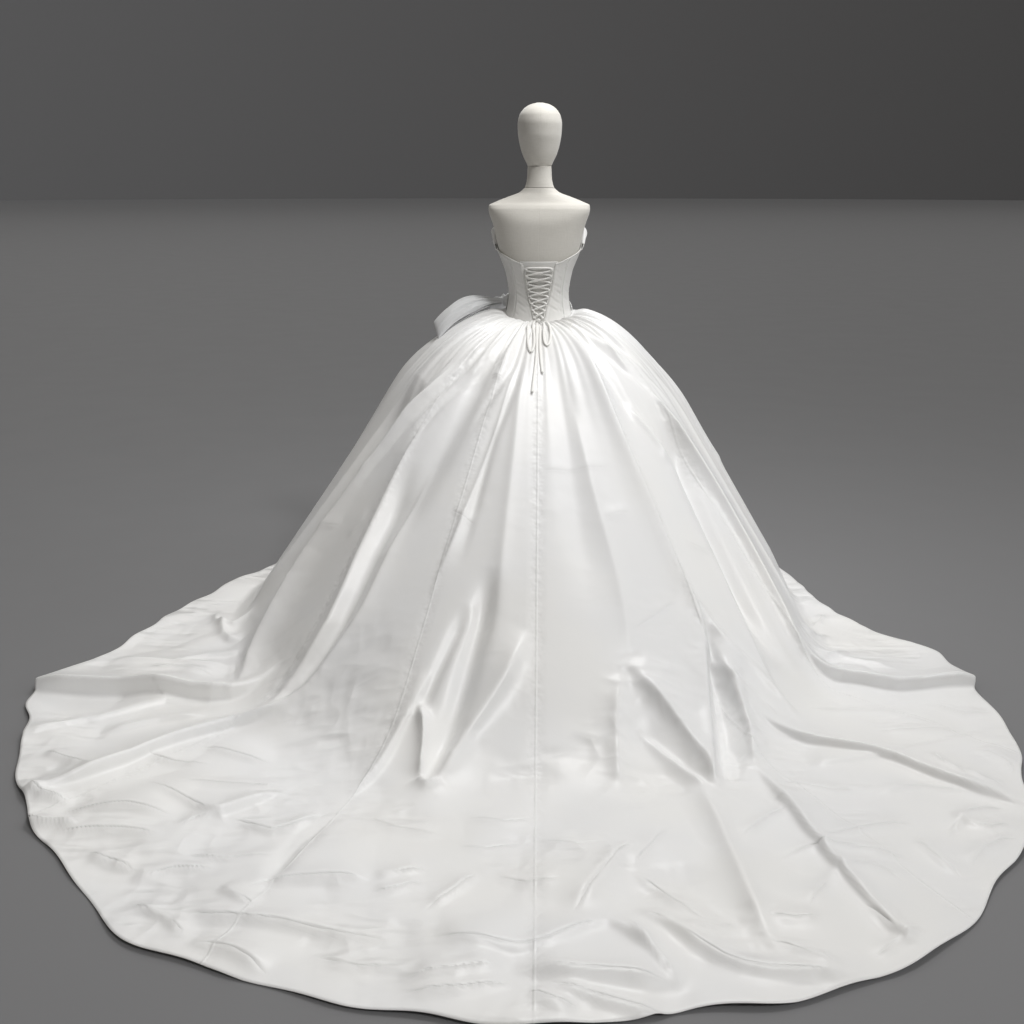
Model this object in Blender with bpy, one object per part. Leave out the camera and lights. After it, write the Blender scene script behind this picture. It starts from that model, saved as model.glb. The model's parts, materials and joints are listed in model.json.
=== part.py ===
"""Strapless wedding gown with a laced back, a hip bow and a long round train,
standing on a limbless dress form.

Metres, +Z up. The gown's front faces -Y, its train lies towards +Y, and +X is
the wearer's left. The origin is on the floor, under the form's pole.
"""
import math

import bmesh
import bpy
from mathutils import Vector

# ---------------------------------------------------------------- driving sizes
SEAM_GAP = 0.0003          # between any two pieces
SATIN = 0.002              # wall of the skirt and the bodice
PANEL_WALL = 0.0010        # wall of the panel behind the lacing
PANEL_CLEAR = 0.0010       # that panel off the form
BODICE_CLEAR = 0.0030      # bodice off the form
WAIST_LIFT = 0.002         # the skirt's top edge above the bodice's lower edge

BASE_RADIUS = 0.20
BASE_HEIGHT = 0.014
POLE_RADIUS = 0.016
FORM_BOTTOM = 0.80
NECK_BOTTOM = 1.517
NECK_TOP = 1.592

BINDING_LIFT = 0.0027      # middle of the back's binding above the panels' edge

LACE = 0.0045              # diameter of the lace
LOOP_TUBE = 0.002          # diameter of the rouleau loops' tubing
LOOP_RING = 0.0043         # middle of that tubing round the lace
LOOP_COUNT = 8
LOOP_TOP = 1.240
LOOP_PITCH = 0.0242
LOOP_RUN = 0.005           # length of edge that one loop takes
LACE_OFFSET = PANEL_CLEAR + PANEL_WALL + SEAM_GAP + LOOP_TUBE / 2 + LOOP_RING
CROSS_LIFT = 0.0027        # each strand up or down where two strands cross
TIE_LIFT = 0.004           # middle of the tie's ribbon above the skirt

# the form: height, half width, depth behind, depth in front, squareness
FORM = (
    (0.800, 0.150, 0.100, 0.085, 2.0),
    (0.920, 0.162, 0.112, 0.092, 2.0),
    (1.000, 0.145, 0.105, 0.090, 2.0),
    (1.060, 0.119, 0.090, 0.084, 2.0),
    (1.150, 0.104, 0.074, 0.077, 2.0),
    (1.220, 0.114, 0.081, 0.086, 2.1),
    (1.300, 0.143, 0.094, 0.104, 2.2),
    (1.390, 0.164, 0.096, 0.094, 2.5),
    (1.445, 0.180, 0.082, 0.074, 3.0),
    (1.458, 0.179, 0.074, 0.066, 2.8),
    (1.470, 0.156, 0.062, 0.057, 2.6),
    (1.488, 0.110, 0.052, 0.048, 2.3),
    (1.502, 0.072, 0.046, 0.044, 2.1),
    (1.517, 0.053, 0.042, 0.041, 2.0),
)
# neck and head: height, half width, half depth, how far forward
NECK = (
    (1.5173, 0.0530, 0.042, 0.000),
    (1.530, 0.0480, 0.041, -0.001),
    (1.550, 0.0440, 0.041, -0.005),
    (1.5917, 0.0420, 0.042, -0.014),
)
HEAD = (
    (1.592, 0.0420, 0.042, -0.014),
    (1.607, 0.0490, 0.060, -0.019),
    (1.628, 0.0595, 0.076, -0.024),
    (1.664, 0.0705, 0.092, -0.028),
    (1.700, 0.0765, 0.100, -0.027),
    (1.732, 0.0780, 0.099, -0.024),
    (1.760, 0.0725, 0.091, -0.022),
    (1.782, 0.0580, 0.072, -0.020),
    (1.797, 0.0350, 0.043, -0.020),
    (1.803, 0.0120, 0.015, -0.020),
)
# bodice edges all round: degrees from the middle of the back, top, bottom
BODICE_EDGE = (
    (0, 1.250, 1.048),
    (20, 1.254, 1.049),
    (32, 1.261, 1.051),
    (50, 1.278, 1.056),
    (75, 1.297, 1.068),
    (88, 1.312, 1.074),
    (98, 1.346, 1.074),
    (110, 1.374, 1.071),
    (130, 1.384, 1.066),
    (150, 1.380, 1.060),
    (165, 1.362, 1.056),
    (180, 1.346, 1.054),
)
# half the open gap between the two backs: share of the height, distance
BACK_GAP = ((0.0, 0.015), (0.25, 0.026), (0.55, 0.041), (1.0, 0.0505))
CUP_ANGLE = 146            # middle of each cup, degrees from the back
CUP_HEIGHT = 1.305
CUP_DEPTH = 0.022

# bodice panels: name, from, to in degrees from the back, columns
BODICE_PANELS = (
    ("bodice_side_left", 49, 99, 7),
    ("bodice_side_front_left", 99, 152, 6),
    ("bodice_front", 152, 208, 6),
    ("bodice_side_front_right", 208, 261, 6),
    ("bodice_side_right", 261, 311, 7),
)
BACK_SEAM = 49

# the skirt's plan: degrees from the back towards the wearer's left, radius where the
# hanging cloth reaches the floor, radius of the hem, roundness of the dome, landing
SKIRT_PLAN = (
    (-180, 0.93, 1.00, 1.40, 0.04),
    (-140, 0.94, 1.01, 1.40, 0.04),
    (-110, 0.95, 1.04, 1.40, 0.04),
    (-90, 0.97, 1.05, 1.40, 0.05),
    (-80, 0.99, 1.11, 1.41, 0.05),
    (-72, 1.02, 1.24, 1.43, 0.06),
    (-66, 1.06, 1.50, 1.45, 0.07),
    (-59, 1.12, 1.60, 1.47, 0.09),
    (-50, 1.20, 1.80, 1.50, 0.10),
    (-35, 1.34, 2.09, 1.65, 0.14),
    (-18, 1.44, 2.34, 1.80, 0.16),
    (0, 1.47, 2.39, 1.90, 0.16),
    (18, 1.44, 2.34, 1.80, 0.16),
    (35, 1.36, 2.14, 1.65, 0.14),
    (48, 1.24, 1.97, 1.50, 0.12),
    (60, 1.165, 1.80, 1.45, 0.10),
    (65, 1.145, 1.60, 1.44, 0.09),
    (72, 1.125, 1.46, 1.42, 0.08),
    (90, 1.08, 1.23, 1.40, 0.05),
    (110, 1.01, 1.10, 1.40, 0.04),
    (140, 0.95, 1.02, 1.40, 0.04),
    (180, 0.93, 1.00, 1.40, 0.04),
)
HANG_ROWS = (0.0, 0.02, 0.05, 0.10, 0.17, 0.28, 0.42, 0.58, 0.74, 0.89, 1.0)
FLOOR_ROWS = (0.17, 0.34, 0.52, 0.70, 0.86, 1.0)
# gores: name, from, to in degrees, columns
GORES = (
    ("skirt_back_left", 0, 17, 5),
    ("skirt_side_back_left", 17, 37, 6),
    ("skirt_side_left", 37, 82, 12),
    ("skirt_side_front_left", 82, 130, 10),
    ("skirt_front", 130, 230, 19),
    ("skirt_side_front_right", 230, 275, 9),
    ("skirt_side_right", 275, 314, 10),
    ("skirt_side_back_right", 314, 335, 6),
    ("skirt_back_right", 335, 360, 7),
)
# pleats set into the waist: degrees from the back, half width in degrees, height, length
PLEATS = (
    (13, 5.0, 0.011, 0.42), (31, 5.5, 0.013, 0.62), (49, 5.0, 0.011, 0.38),
    (66, 6.0, 0.014, 0.55), (84, 5.0, 0.010, 0.40), (102, 5.5, 0.013, 0.60),
    (121, 5.0, 0.010, 0.44), (139, 6.0, 0.014, 0.66), (157, 5.0, 0.011, 0.40),
    (174, 5.5, 0.012, 0.58), (191, 5.0, 0.010, 0.42), (208, 6.0, 0.014, 0.64),
    (226, 5.0, 0.011, 0.46), (243, 5.5, 0.012, 0.56), (261, 5.0, 0.010, 0.38),
    (279, 6.0, 0.013, 0.60), (297, 5.0, 0.011, 0.44), (314, 5.5, 0.013, 0.52),
    (331, 5.0, 0.012, 0.60), (347, 4.5, 0.010, 0.36),
)
# largest folds: height, half width on its left and right, route in plan from the waist out
FOLDS = (
    # left flank: ridge, the broad trough outside it, and the fold that starts at the waist
    (0.034, 0.060, 0.075, ((0.26, 0.27), (0.46, 0.44), (0.67, 0.55), (0.89, 0.70))),
    (-0.045, 0.085, 0.110, ((0.38, 0.26), (0.58, 0.36), (0.82, 0.43), (1.00, 0.46))),
    (0.018, 0.050, 0.035, ((0.10, 0.26), (0.24, 0.50), (0.42, 0.66), (0.52, 0.84))),
    # right flank
    (0.034, 0.070, 0.055, ((-0.18, 0.22), (-0.44, 0.37), (-0.60, 0.46), (-0.80, 0.74))),
    (-0.042, 0.090, 0.060, ((-0.42, 0.43), (-0.58, 0.68), (-0.70, 0.86))),
    (0.026, 0.030, 0.070, ((-0.09, 0.20), (-0.23, 0.51), (-0.41, 0.88), (-0.52, 1.20))),
    # where the train breaks on the floor
    (0.040, 0.070, 0.030, ((0.06, 1.15), (0.17, 1.36), (0.27, 1.50))),
    (-0.040, 0.045, 0.045, ((0.25, 1.18), (0.34, 1.28), (0.35, 1.40), (0.31, 1.50))),
    (0.042, 0.030, 0.080, ((-0.26, 1.16), (-0.34, 1.28), (-0.42, 1.41), (-0.47, 1.50))),
    (-0.038, 0.050, 0.050, ((-0.53, 1.05), (-0.55, 1.24), (-0.53, 1.46))),
    # laps on the floor at the left
    (0.045, 0.040, 0.130, ((0.80, 0.86), (0.93, 0.93), (1.23, 0.88), (1.62, 0.84))),
    (0.026, 0.045, 0.100, ((0.66, 1.14), (0.89, 1.12), (1.06, 1.22), (1.30, 1.52))),
    (0.026, 0.050, 0.050, ((0.38, 1.33), (0.51, 1.60), (0.59, 1.96))),
    # laps on the floor at the right
    (0.050, 0.130, 0.040, ((-0.62, 0.82), (-0.72, 0.95), (-0.96, 0.88), (-1.42, 0.84))),
    (0.034, 0.110, 0.045, ((-0.60, 1.16), (-0.78, 1.20), (-0.98, 1.31), (-1.30, 1.56))),
    (0.028, 0.050, 0.050, ((-0.58, 1.33), (-0.68, 1.48), (-0.76, 1.86), (-0.78, 2.10))),
    (0.020, 0.040, 0.060, ((-0.45, 1.52), (-0.47, 1.80), (-0.48, 2.14))),
    # hidden sides and front, plain hanging folds
    (0.030, 0.060, 0.070, ((0.34, -0.04), (0.62, -0.10), (0.98, -0.18))),
    (0.028, 0.060, 0.060, ((0.28, -0.26), (0.50, -0.48), (0.70, -0.68))),
    (0.032, 0.060, 0.070, ((0.08, -0.36), (0.14, -0.62), (0.22, -0.94))),
    (0.028, 0.060, 0.060, ((-0.16, -0.34), (-0.28, -0.58), (-0.38, -0.84))),
    (0.030, 0.070, 0.060, ((-0.32, -0.22), (-0.56, -0.38), (-0.80, -0.54))),
    (0.028, 0.060, 0.060, ((-0.38, 0.02), (-0.66, 0.04), (-0.98, 0.08))),
)

SASH_BOTTOM = 0.012        # above the bodice's lower edge
SASH_WALL = 0.003
# sash: degrees from the back, height of the band
SASH = ((98, 0.060), (140, 0.056), (180, 0.054), (220, 0.050), (250, 0.038), (268, 0.022))
DRAPE_WALL = 0.003
DRAPE_FROM = 92
# draped neckline: share down the drape, distance off the bodice
DRAPE_SECTION = (
    (0.0, 0.0040), (0.12, 0.0100), (0.28, 0.0130), (0.44, 0.0095),
    (0.60, 0.0120), (0.80, 0.0095), (1.0, 0.0035),
)
DRAPE_HEIGHT = 0.085

BOW_KNOT = Vector((0.118, -0.068, 1.115))
# bow loops: name, direction out, direction across, length, half width at the tip, droop
BOW_LOOPS = (
    ("bow_loop_back", (0.95, 0.24, -0.04), (0.0, -0.87, 0.49), 0.245, 0.052, 0.090),
    ("bow_loop_front", (0.12, -0.98, -0.06), (0.90, 0.10, -0.30), 0.210, 0.052, 0.050),
)
BOW_BELLY = 0.020
BOW_WALL = 0.002

# pieces of the tie: name, route on the skirt as distance to the left and distance back
TIES = (
    ("tie_loop_left", (
        (0.022, 0.113), (0.032, 0.150), (0.036, 0.210), (0.036, 0.270), (0.032, 0.325),
        (0.024, 0.352), (0.015, 0.325), (0.014, 0.270), (0.017, 0.210), (0.018, 0.158),
        (0.0135, 0.122))),
    ("tie_loop_right", (
        (-0.022, 0.113), (-0.032, 0.150), (-0.038, 0.200), (-0.041, 0.250), (-0.038, 0.300),
        (-0.029, 0.322), (-0.020, 0.298), (-0.018, 0.250), (-0.019, 0.200), (-0.019, 0.155),
        (-0.0135, 0.122))),
    ("tie_tail_left", (
        (0.0045, 0.122), (0.0060, 0.180), (0.0055, 0.250), (0.0050, 0.330), (0.0080, 0.400),
        (0.0140, 0.460), (0.0190, 0.510))),
    ("tie_tail_right", (
        (-0.0045, 0.122), (-0.0065, 0.180), (-0.0060, 0.250), (-0.0060, 0.330),
        (-0.0090, 0.390), (-0.0140, 0.440))),
)
HANGER_CORD = 0.002
HANGER = (
    (-0.070, 0.105), (-0.078, 0.130), (-0.090, 0.165), (-0.104, 0.182), (-0.114, 0.172),
    (-0.110, 0.145), (-0.098, 0.115),
)

# colour, roughness and metallic value of each finish
FINISHES = {
    "satin": ((0.87, 0.87, 0.85), 0.32, 0.0),
    "linen": ((0.72, 0.69, 0.62), 0.85, 0.0),
    "ribbon": ((0.88, 0.87, 0.83), 0.35, 0.0),
    "stand_paint": ((0.80, 0.79, 0.76), 0.45, 0.0),
}


# ---------------------------------------------------------------- small helpers
def clear_scene():
    for item in list(bpy.data.objects):
        bpy.data.objects.remove(item, do_unlink=True)


def finish(item, slot):
    """Give a piece its own material."""
    colour, roughness, metallic = FINISHES[slot]
    paint = bpy.data.materials.new(item.name + "_finish")
    paint.use_nodes = True
    shader = paint.node_tree.nodes["Principled BSDF"]
    shader.inputs["Base Color"].default_value = (*colour, 1.0)
    shader.inputs["Roughness"].default_value = roughness
    shader.inputs["Metallic"].default_value = metallic
    item.data.materials.append(paint)


def add_mesh(name, points, faces, slot, smooth=True):
    mesh = bpy.data.meshes.new(name)
    mesh.from_pydata([tuple(p) for p in points], [], faces)
    shell = bmesh.new()
    shell.from_mesh(mesh)
    bmesh.ops.recalc_face_normals(shell, faces=shell.faces)
    shell.to_mesh(mesh)
    shell.free()
    item = bpy.data.objects.new(name, mesh)
    bpy.context.collection.objects.link(item)
    for face in mesh.polygons:
        face.use_smooth = smooth
    finish(item, slot)
    return item


def smooth_row(table, key):
    """Values between a table's rows, without overshoot. Column 0 is the key."""
    last = len(table) - 1
    if key <= table[0][0]:
        return table[0][1:]
    if key >= table[last][0]:
        return table[last][1:]
    low = max(i for i in range(last) if table[i][0] <= key)
    step = table[low + 1][0] - table[low][0]
    share = (key - table[low][0]) / step
    values = []
    for column in range(1, len(table[0])):
        slopes = []
        for row in (low, low + 1):
            if row == 0 or row == last:
                near = min(max(row, 1), last)
                rise = table[near][column] - table[near - 1][column]
                slopes.append(rise / (table[near][0] - table[near - 1][0]))
                continue
            before = (table[row][column] - table[row - 1][column]) / (
                table[row][0] - table[row - 1][0])
            after = (table[row + 1][column] - table[row][column]) / (
                table[row + 1][0] - table[row][0])
            flat = before * after <= 0
            slopes.append(0.0 if flat else 2 * before * after / (before + after))
        start = table[low][column]
        end = table[low + 1][column]
        s2 = share * share
        s3 = s2 * share
        values.append(
            start * (2 * s3 - 3 * s2 + 1) + end * (3 * s2 - 2 * s3)
            + step * (slopes[0] * (s3 - 2 * s2 + share) + slopes[1] * (s3 - s2)))
    return values


def ease(share):
    share = min(max(share, 0.0), 1.0)
    return share * share * (3 - 2 * share)


def wall(name, inner, outer, slot):
    """Closed wall between two grids of points, sealed along its four edges."""
    rows = len(inner)
    columns = len(inner[0])
    points = [p for row in outer for p in row] + [p for row in inner for p in row]
    shift = rows * columns
    faces = []
    for r in range(rows - 1):
        for c in range(columns - 1):
            a = r * columns + c
            b = a + 1
            d = a + columns
            e = d + 1
            faces.append((a, d, e, b))
            faces.append((a + shift, b + shift, e + shift, d + shift))
    rim = [c for c in range(columns)]
    rim += [r * columns + columns - 1 for r in range(1, rows)]
    rim += [(rows - 1) * columns + c for c in range(columns - 2, -1, -1)]
    rim += [r * columns for r in range(rows - 2, 0, -1)]
    for i, a in enumerate(rim):
        b = rim[(i + 1) % len(rim)]
        faces.append((a, b, b + shift, a + shift))
    return add_mesh(name, points, faces, slot)


def loft(name, rings, slot):
    """Closed solid through rings of points, with a flat cap at each end."""
    count = len(rings[0])
    points = [p for ring in rings for p in ring]
    faces = []
    for r in range(len(rings) - 1):
        for c in range(count):
            a = r * count + c
            b = r * count + (c + 1) % count
            faces.append((a, b, b + count, a + count))
    faces.append(tuple(reversed(range(count))))
    top = (len(rings) - 1) * count
    faces.append(tuple(range(top, top + count)))
    return add_mesh(name, points, faces, slot)


def tube(name, route, diameter, slot):
    """Round cord along a route, with filled ends."""
    curve = bpy.data.curves.new(name, "CURVE")
    curve.dimensions = "3D"
    curve.bevel_depth = diameter / 2
    curve.bevel_resolution = 2
    curve.use_fill_caps = True
    spline = curve.splines.new("POLY")
    spline.points.add(len(route) - 1)
    for knot, place in zip(spline.points, route):
        knot.co = (place[0], place[1], place[2], 1.0)
    item = bpy.data.objects.new(name, curve)
    bpy.context.collection.objects.link(item)
    finish(item, slot)
    return item


def smooth_route(points, count):
    """Even points along a smooth curve through hand-set points."""
    fine = []
    for i in range(len(points) - 1):
        p0 = points[max(i - 1, 0)]
        p1 = points[i]
        p2 = points[i + 1]
        p3 = points[min(i + 2, len(points) - 1)]
        for step in range(12):
            s = step / 12
            fine.append(0.5 * (
                2 * p1 + (p2 - p0) * s + (2 * p0 - 5 * p1 + 4 * p2 - p3) * s * s
                + (3 * p1 - p0 - 3 * p2 + p3) * s * s * s))
    fine.append(points[-1])
    lengths = [0.0]
    for a, b in zip(fine, fine[1:]):
        lengths.append(lengths[-1] + (b - a).length)
    route = []
    for n in range(count):
        want = lengths[-1] * n / (count - 1)
        k = max(i for i in range(len(fine) - 1) if lengths[i] <= want + 1e-9)
        span = max(lengths[k + 1] - lengths[k], 1e-9)
        route.append(fine[k].lerp(fine[k + 1], (want - lengths[k]) / span))
    return route


# ---------------------------------------------------------------- the form
def form_point(height, degrees, offset=0.0):
    """A point on the form, or that far off it; degrees run from the back to the left."""
    half, behind, front, square = smooth_row(FORM, height)
    side = math.sin(math.radians(degrees))
    along = math.cos(math.radians(degrees))
    power = 2.0 / square
    depth = behind if along > 0 else front
    x = math.copysign(abs(side) ** power, side) * (half + offset)
    y = math.copysign(abs(along) ** power, along) * (depth + offset)
    return Vector((x, y, height))


def make_form():
    heights = [FORM_BOTTOM, 0.86, 0.92, 1.00, 1.05, 1.08, 1.105, 1.13, 1.15, 1.17, 1.195, 1.23, 1.27, 1.31,
               1.35, 1.39, 1.42, 1.445, 1.455, 1.462, 1.470, 1.478, 1.486, 1.494, 1.502,
               1.510, NECK_BOTTOM]
    rings = []
    for height in heights:
        rings.append([form_point(height, -360 * c / 40) for c in range(40)])
    loft("form_torso", rings, "linen")
    for name, table, steps in (("form_neck", NECK, 7), ("form_head", HEAD, 20)):
        low = table[0][0] + (SEAM_GAP if name == "form_head" else 0.0)
        high = table[-1][0]
        rings = []
        for step in range(steps):
            share = step / (steps - 1)
            if name == "form_head":
                share = 1 - (1 - share) ** 1.6
            height = low + (high - low) * share
            half, depth, forward = smooth_row(table, height)
            ring = []
            for c in range(28):
                angle = 2 * math.pi * c / 28
                ring.append(Vector((
                    half * math.cos(angle), forward + depth * math.sin(angle), height)))
            rings.append(ring)
        loft(name, rings, "linen")


def make_stand():
    for name, radius, low, high, count in (
            ("stand_base", BASE_RADIUS, 0.0, BASE_HEIGHT, 48),
            ("stand_pole", POLE_RADIUS, BASE_HEIGHT + SEAM_GAP, FORM_BOTTOM - SEAM_GAP, 24)):
        edge = 0.002
        rings = []
        for inset, height in ((edge, low), (0, low + edge), (0, high - edge), (edge, high)):
            ring = []
            for c in range(count):
                angle = 2 * math.pi * c / count
                ring.append(Vector((
                    (radius - inset) * math.cos(angle),
                    (radius - inset) * math.sin(angle), height)))
            rings.append(ring)
        loft(name, rings, "stand_paint")


# ---------------------------------------------------------------- the bodice
def back_angle(degrees):
    """Degrees from the middle of the back, the same on both sides."""
    return abs((degrees + 180) % 360 - 180)


def cup(height, degrees):
    """How far the cups stand off the form."""
    across = (back_angle(degrees) - CUP_ANGLE) / 24
    up = (height - CUP_HEIGHT) / (0.052 if height > CUP_HEIGHT else 0.068)
    return CUP_DEPTH * math.exp(-across * across - up * up)


def bodice_point(height, degrees, offset):
    return form_point(height, degrees, offset + cup(height, degrees))


def bodice_edge(degrees):
    return smooth_row(BODICE_EDGE, back_angle(degrees))


def gap_angle(share):
    """Where a back panel's laced edge lies, in degrees, for a share of its height."""
    distance = smooth_row(BACK_GAP, share)[0]
    low = BODICE_EDGE[0][2]
    half = smooth_row(FORM, low + share * (BODICE_EDGE[0][1] - low))[0]
    return math.degrees(math.asin(distance / half))


def make_panel(name, start, end, columns, rows=6):
    """A bodice panel between two edges, each a function of the share of the height."""
    inner = []
    outer = []
    for r in range(rows + 1):
        share = r / rows
        low_angle = start(share)
        high_angle = end(share)
        inner_row = []
        outer_row = []
        for c in range(columns + 1):
            degrees = low_angle + (high_angle - low_angle) * c / columns
            top, bottom = bodice_edge(degrees)
            height = bottom + (top - bottom) * share
            inner_row.append(bodice_point(height, degrees, BODICE_CLEAR))
            outer_row.append(bodice_point(height, degrees, BODICE_CLEAR + SATIN))
        inner.append(inner_row)
        outer.append(outer_row)
    return wall(name, inner, outer, "satin")


def make_bodice():
    seam = math.degrees(SEAM_GAP / 2 / 0.10)
    for name, start, end, columns in BODICE_PANELS:
        make_panel(name, lambda s, a=start: a + seam, lambda s, a=end: a - seam, columns)
    make_panel("bodice_back_left", gap_angle, lambda s: BACK_SEAM - seam, 5)
    make_panel("bodice_back_right", lambda s: 360 - BACK_SEAM + seam,
               lambda s: 360 - gap_angle(s), 5)

    # the satin that binds the back's top edge, a cord of cloth laid just above it
    for name, side in (("binding_left", 1), ("binding_right", -1)):
        route = []
        first = gap_angle(1.0) + 1.5
        for n in range(13):
            degrees = first + (84 - first) * n / 12
            top = bodice_edge(degrees)[0]
            per_degree = 0.0021
            slope = (bodice_edge(degrees + 1)[0] - top) / per_degree
            lean = math.hypot(1, slope)
            degrees -= BINDING_LIFT * slope / lean / per_degree
            height = top + BINDING_LIFT / lean
            route.append(form_point(height, side * degrees, BODICE_CLEAR + SATIN * 0.8))
        tube(name, route, 0.0036, "satin")

    # the panel behind the lacing
    inner = []
    outer = []
    for r in range(9):
        share = r / 8
        height = BODICE_EDGE[0][2] + 0.002 + share * 0.218
        reach = 0.026 + 0.037 * min(share * 1.3, 1.0)
        half = smooth_row(FORM, height)[0]
        limit = math.degrees(math.asin(reach / half))
        inner_row = []
        outer_row = []
        for c in range(7):
            degrees = limit * (c / 3 - 1)
            inner_row.append(form_point(height, degrees, PANEL_CLEAR))
            outer_row.append(form_point(height, degrees, PANEL_CLEAR + PANEL_WALL))
        inner.append(inner_row)
        outer.append(outer_row)
    wall("modesty_panel", inner, outer, "satin")

    # the drape folded over the front's top edge
    inner = []
    outer = []
    columns = 20
    for share, off in reversed(DRAPE_SECTION):
        inner_row = []
        outer_row = []
        for c in range(columns + 1):
            across = c / columns
            degrees = DRAPE_FROM + (360 - 2 * DRAPE_FROM) * across
            ends = ease(min(across, 1 - across) / 0.10)
            top = bodice_edge(degrees)[0] + 0.006 * ends
            height = top - share * DRAPE_HEIGHT * (0.30 + 0.70 * ends)
            ripple = 0.0025 * math.sin(across * 37 + share * 5) * ends
            lift = BODICE_CLEAR + SATIN + SEAM_GAP * 2 + (off + ripple) * (0.4 + 0.6 * ends)
            inner_row.append(bodice_point(height, degrees, lift))
            outer_row.append(bodice_point(height, degrees, lift + DRAPE_WALL))
        inner.append(inner_row)
        outer.append(outer_row)
    wall("neckline_drape", inner, outer, "satin")


def make_sash():
    """Pleated band from the right side round the front to the bow on the left hip."""
    inner = []
    outer = []
    rows = 6
    columns = 18
    start = SASH[0][0]
    end = SASH[-1][0]
    for r in range(rows + 1):
        share = r / rows
        inner_row = []
        outer_row = []
        for c in range(columns + 1):
            degrees = start + (end - start) * c / columns
            band = smooth_row(SASH, degrees)[0]
            height = bodice_edge(degrees)[1] + SASH_BOTTOM + share * band
            pleat = 0.0022 * (1 - math.cos(share * 6 * math.pi)) / 2
            lift = BODICE_CLEAR + SATIN + 0.0028 + pleat
            inner_row.append(bodice_point(height, degrees, lift))
            outer_row.append(bodice_point(height, degrees, lift + SASH_WALL))
        inner.append(inner_row)
        outer.append(outer_row)
    wall("front_sash", inner, outer, "satin")


def make_bow():
    """Two looped bands gathered into a knot on the left hip."""
    for name, out, across, length, half_width, droop in BOW_LOOPS:
        out = Vector(out).normalized()
        across = Vector(across)
        across = (across - out * across.dot(out)).normalized()
        normal = across.cross(out)
        if normal.z < 0:
            normal.negate()
        root = BOW_KNOT + out * 0.020
        turns = 16
        strips = 5
        inner = []
        outer = []
        for t in range(turns + 1):
            around = math.radians(8 + 344 * t / turns)
            along = length * (1 - math.cos(around)) / 2
            share = along / length
            width = 0.012 + (half_width - 0.012) * ease(share * 1.5)
            round_tip = math.copysign(abs(math.sin(around)) ** 0.7, math.sin(around))
            belly = BOW_BELLY * round_tip * (0.35 + 0.65 * ease(share * 2))
            if belly < 0:
                belly *= 0.5
            inner_row = []
            outer_row = []
            for c in range(strips + 1):
                side = 2 * c / strips - 1
                pucker = 0.003 * math.cos(side * 3 * math.pi) * (1 - 0.6 * share)
                puff = belly * (1 - 0.8 * side ** 4 * ease(share * 2))
                place = root + out * along + across * (width * side)
                place += normal * (puff + pucker * math.sin(around))
                facing = out * max(-math.cos(around), 0.0) ** 3 + normal * math.sin(around)
                facing.normalize()
                outside = place + facing * BOW_WALL
                outer_share = share + BOW_WALL * facing.dot(out) / length
                place.z -= droop * share ** 3
                outside.z -= droop * outer_share ** 3
                inner_row.append(place)
                outer_row.append(outside)
            inner.append(inner_row)
            outer.append(outer_row)
        wall(name, inner, outer, "satin")

    rings = []
    direction = Vector(BOW_LOOPS[0][1]).normalized()
    upward = Vector((0, 0, 1)) - direction * direction.z
    upward.normalize()
    sideways = direction.cross(upward)
    for n in range(7):
        share = n / 6
        place = BOW_KNOT + direction * (0.030 * (share - 0.5))
        radius = 0.010 + 0.005 * math.sin(math.pi * share) ** 0.7
        ring = []
        for c in range(14):
            angle = 2 * math.pi * c / 14
            ring.append(place + upward * (radius * 1.35 * math.sin(angle))
                        - sideways * (radius * 0.62 * math.cos(angle)))
        rings.append(ring)
    loft("bow_knot", rings, "satin")


# ---------------------------------------------------------------- the lacing
def edge_point(side, height, inset, offset):
    """A point inside the laced gap: so far from the panel's edge and off the form."""
    low = BODICE_EDGE[0][2]
    share = (height - low) / (BODICE_EDGE[0][1] - low)
    distance = smooth_row(BACK_GAP, share)[0] - inset
    half = smooth_row(FORM, height)[0] + offset
    degrees = math.degrees(math.asin(distance / half))
    return form_point(height, side * degrees, offset)


def make_lacing():
    inset = SEAM_GAP + LOOP_TUBE / 2 + LOOP_RING + 0.0008
    # each strip of loops winds once round the lace at every loop
    for name, side in (("loop_strip_left", 1), ("loop_strip_right", -1)):
        route = []
        for loop in range(LOOP_COUNT):
            middle = LOOP_TOP - loop * LOOP_PITCH
            for step in range(7):
                angle = 2 * math.pi * step / 6
                height = middle + LOOP_RUN * (0.5 - step / 6)
                across = inset - LOOP_RING * math.cos(angle) * 1.06
                lift = LACE_OFFSET + LOOP_RING * math.sin(angle) * 1.06
                route.append(edge_point(side, height, across, lift))
        tube(name, route, LOOP_TUBE, "satin")

    # two strands start together at the top and cross at each step down
    for name, first in (("lace_left", 1), ("lace_right", -1)):
        start = LOOP_TOP + LOOP_RUN
        route = [form_point(start + 0.001, first * 0.4, LACE_OFFSET),
                 form_point(start + 0.001, first * 12, LACE_OFFSET)]
        side = first
        for loop in range(LOOP_COUNT):
            middle = LOOP_TOP - loop * LOOP_PITCH
            run = LOOP_RUN * 0.62
            come = edge_point(side, middle + run, inset, LACE_OFFSET)
            leave = edge_point(side, middle - run, inset, LACE_OFFSET)
            route.append(come)
            route.append(leave)
            if loop == LOOP_COUNT - 1:
                break
            arrive = edge_point(-side, middle - LOOP_PITCH + run, inset, LACE_OFFSET)
            over = first * (1 if loop % 2 else -1)
            for share, lift in ((0.2, 0.0), (0.38, over), (0.62, over), (0.8, 0.0)):
                flat = leave.lerp(arrive, share)
                half = smooth_row(FORM, flat.z)[0] + LACE_OFFSET
                degrees = math.degrees(math.asin(flat.x / half))
                route.append(form_point(flat.z, degrees, LACE_OFFSET + lift * CROSS_LIFT))
            side = -side
        tube(name, route, LACE, "ribbon")


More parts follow.
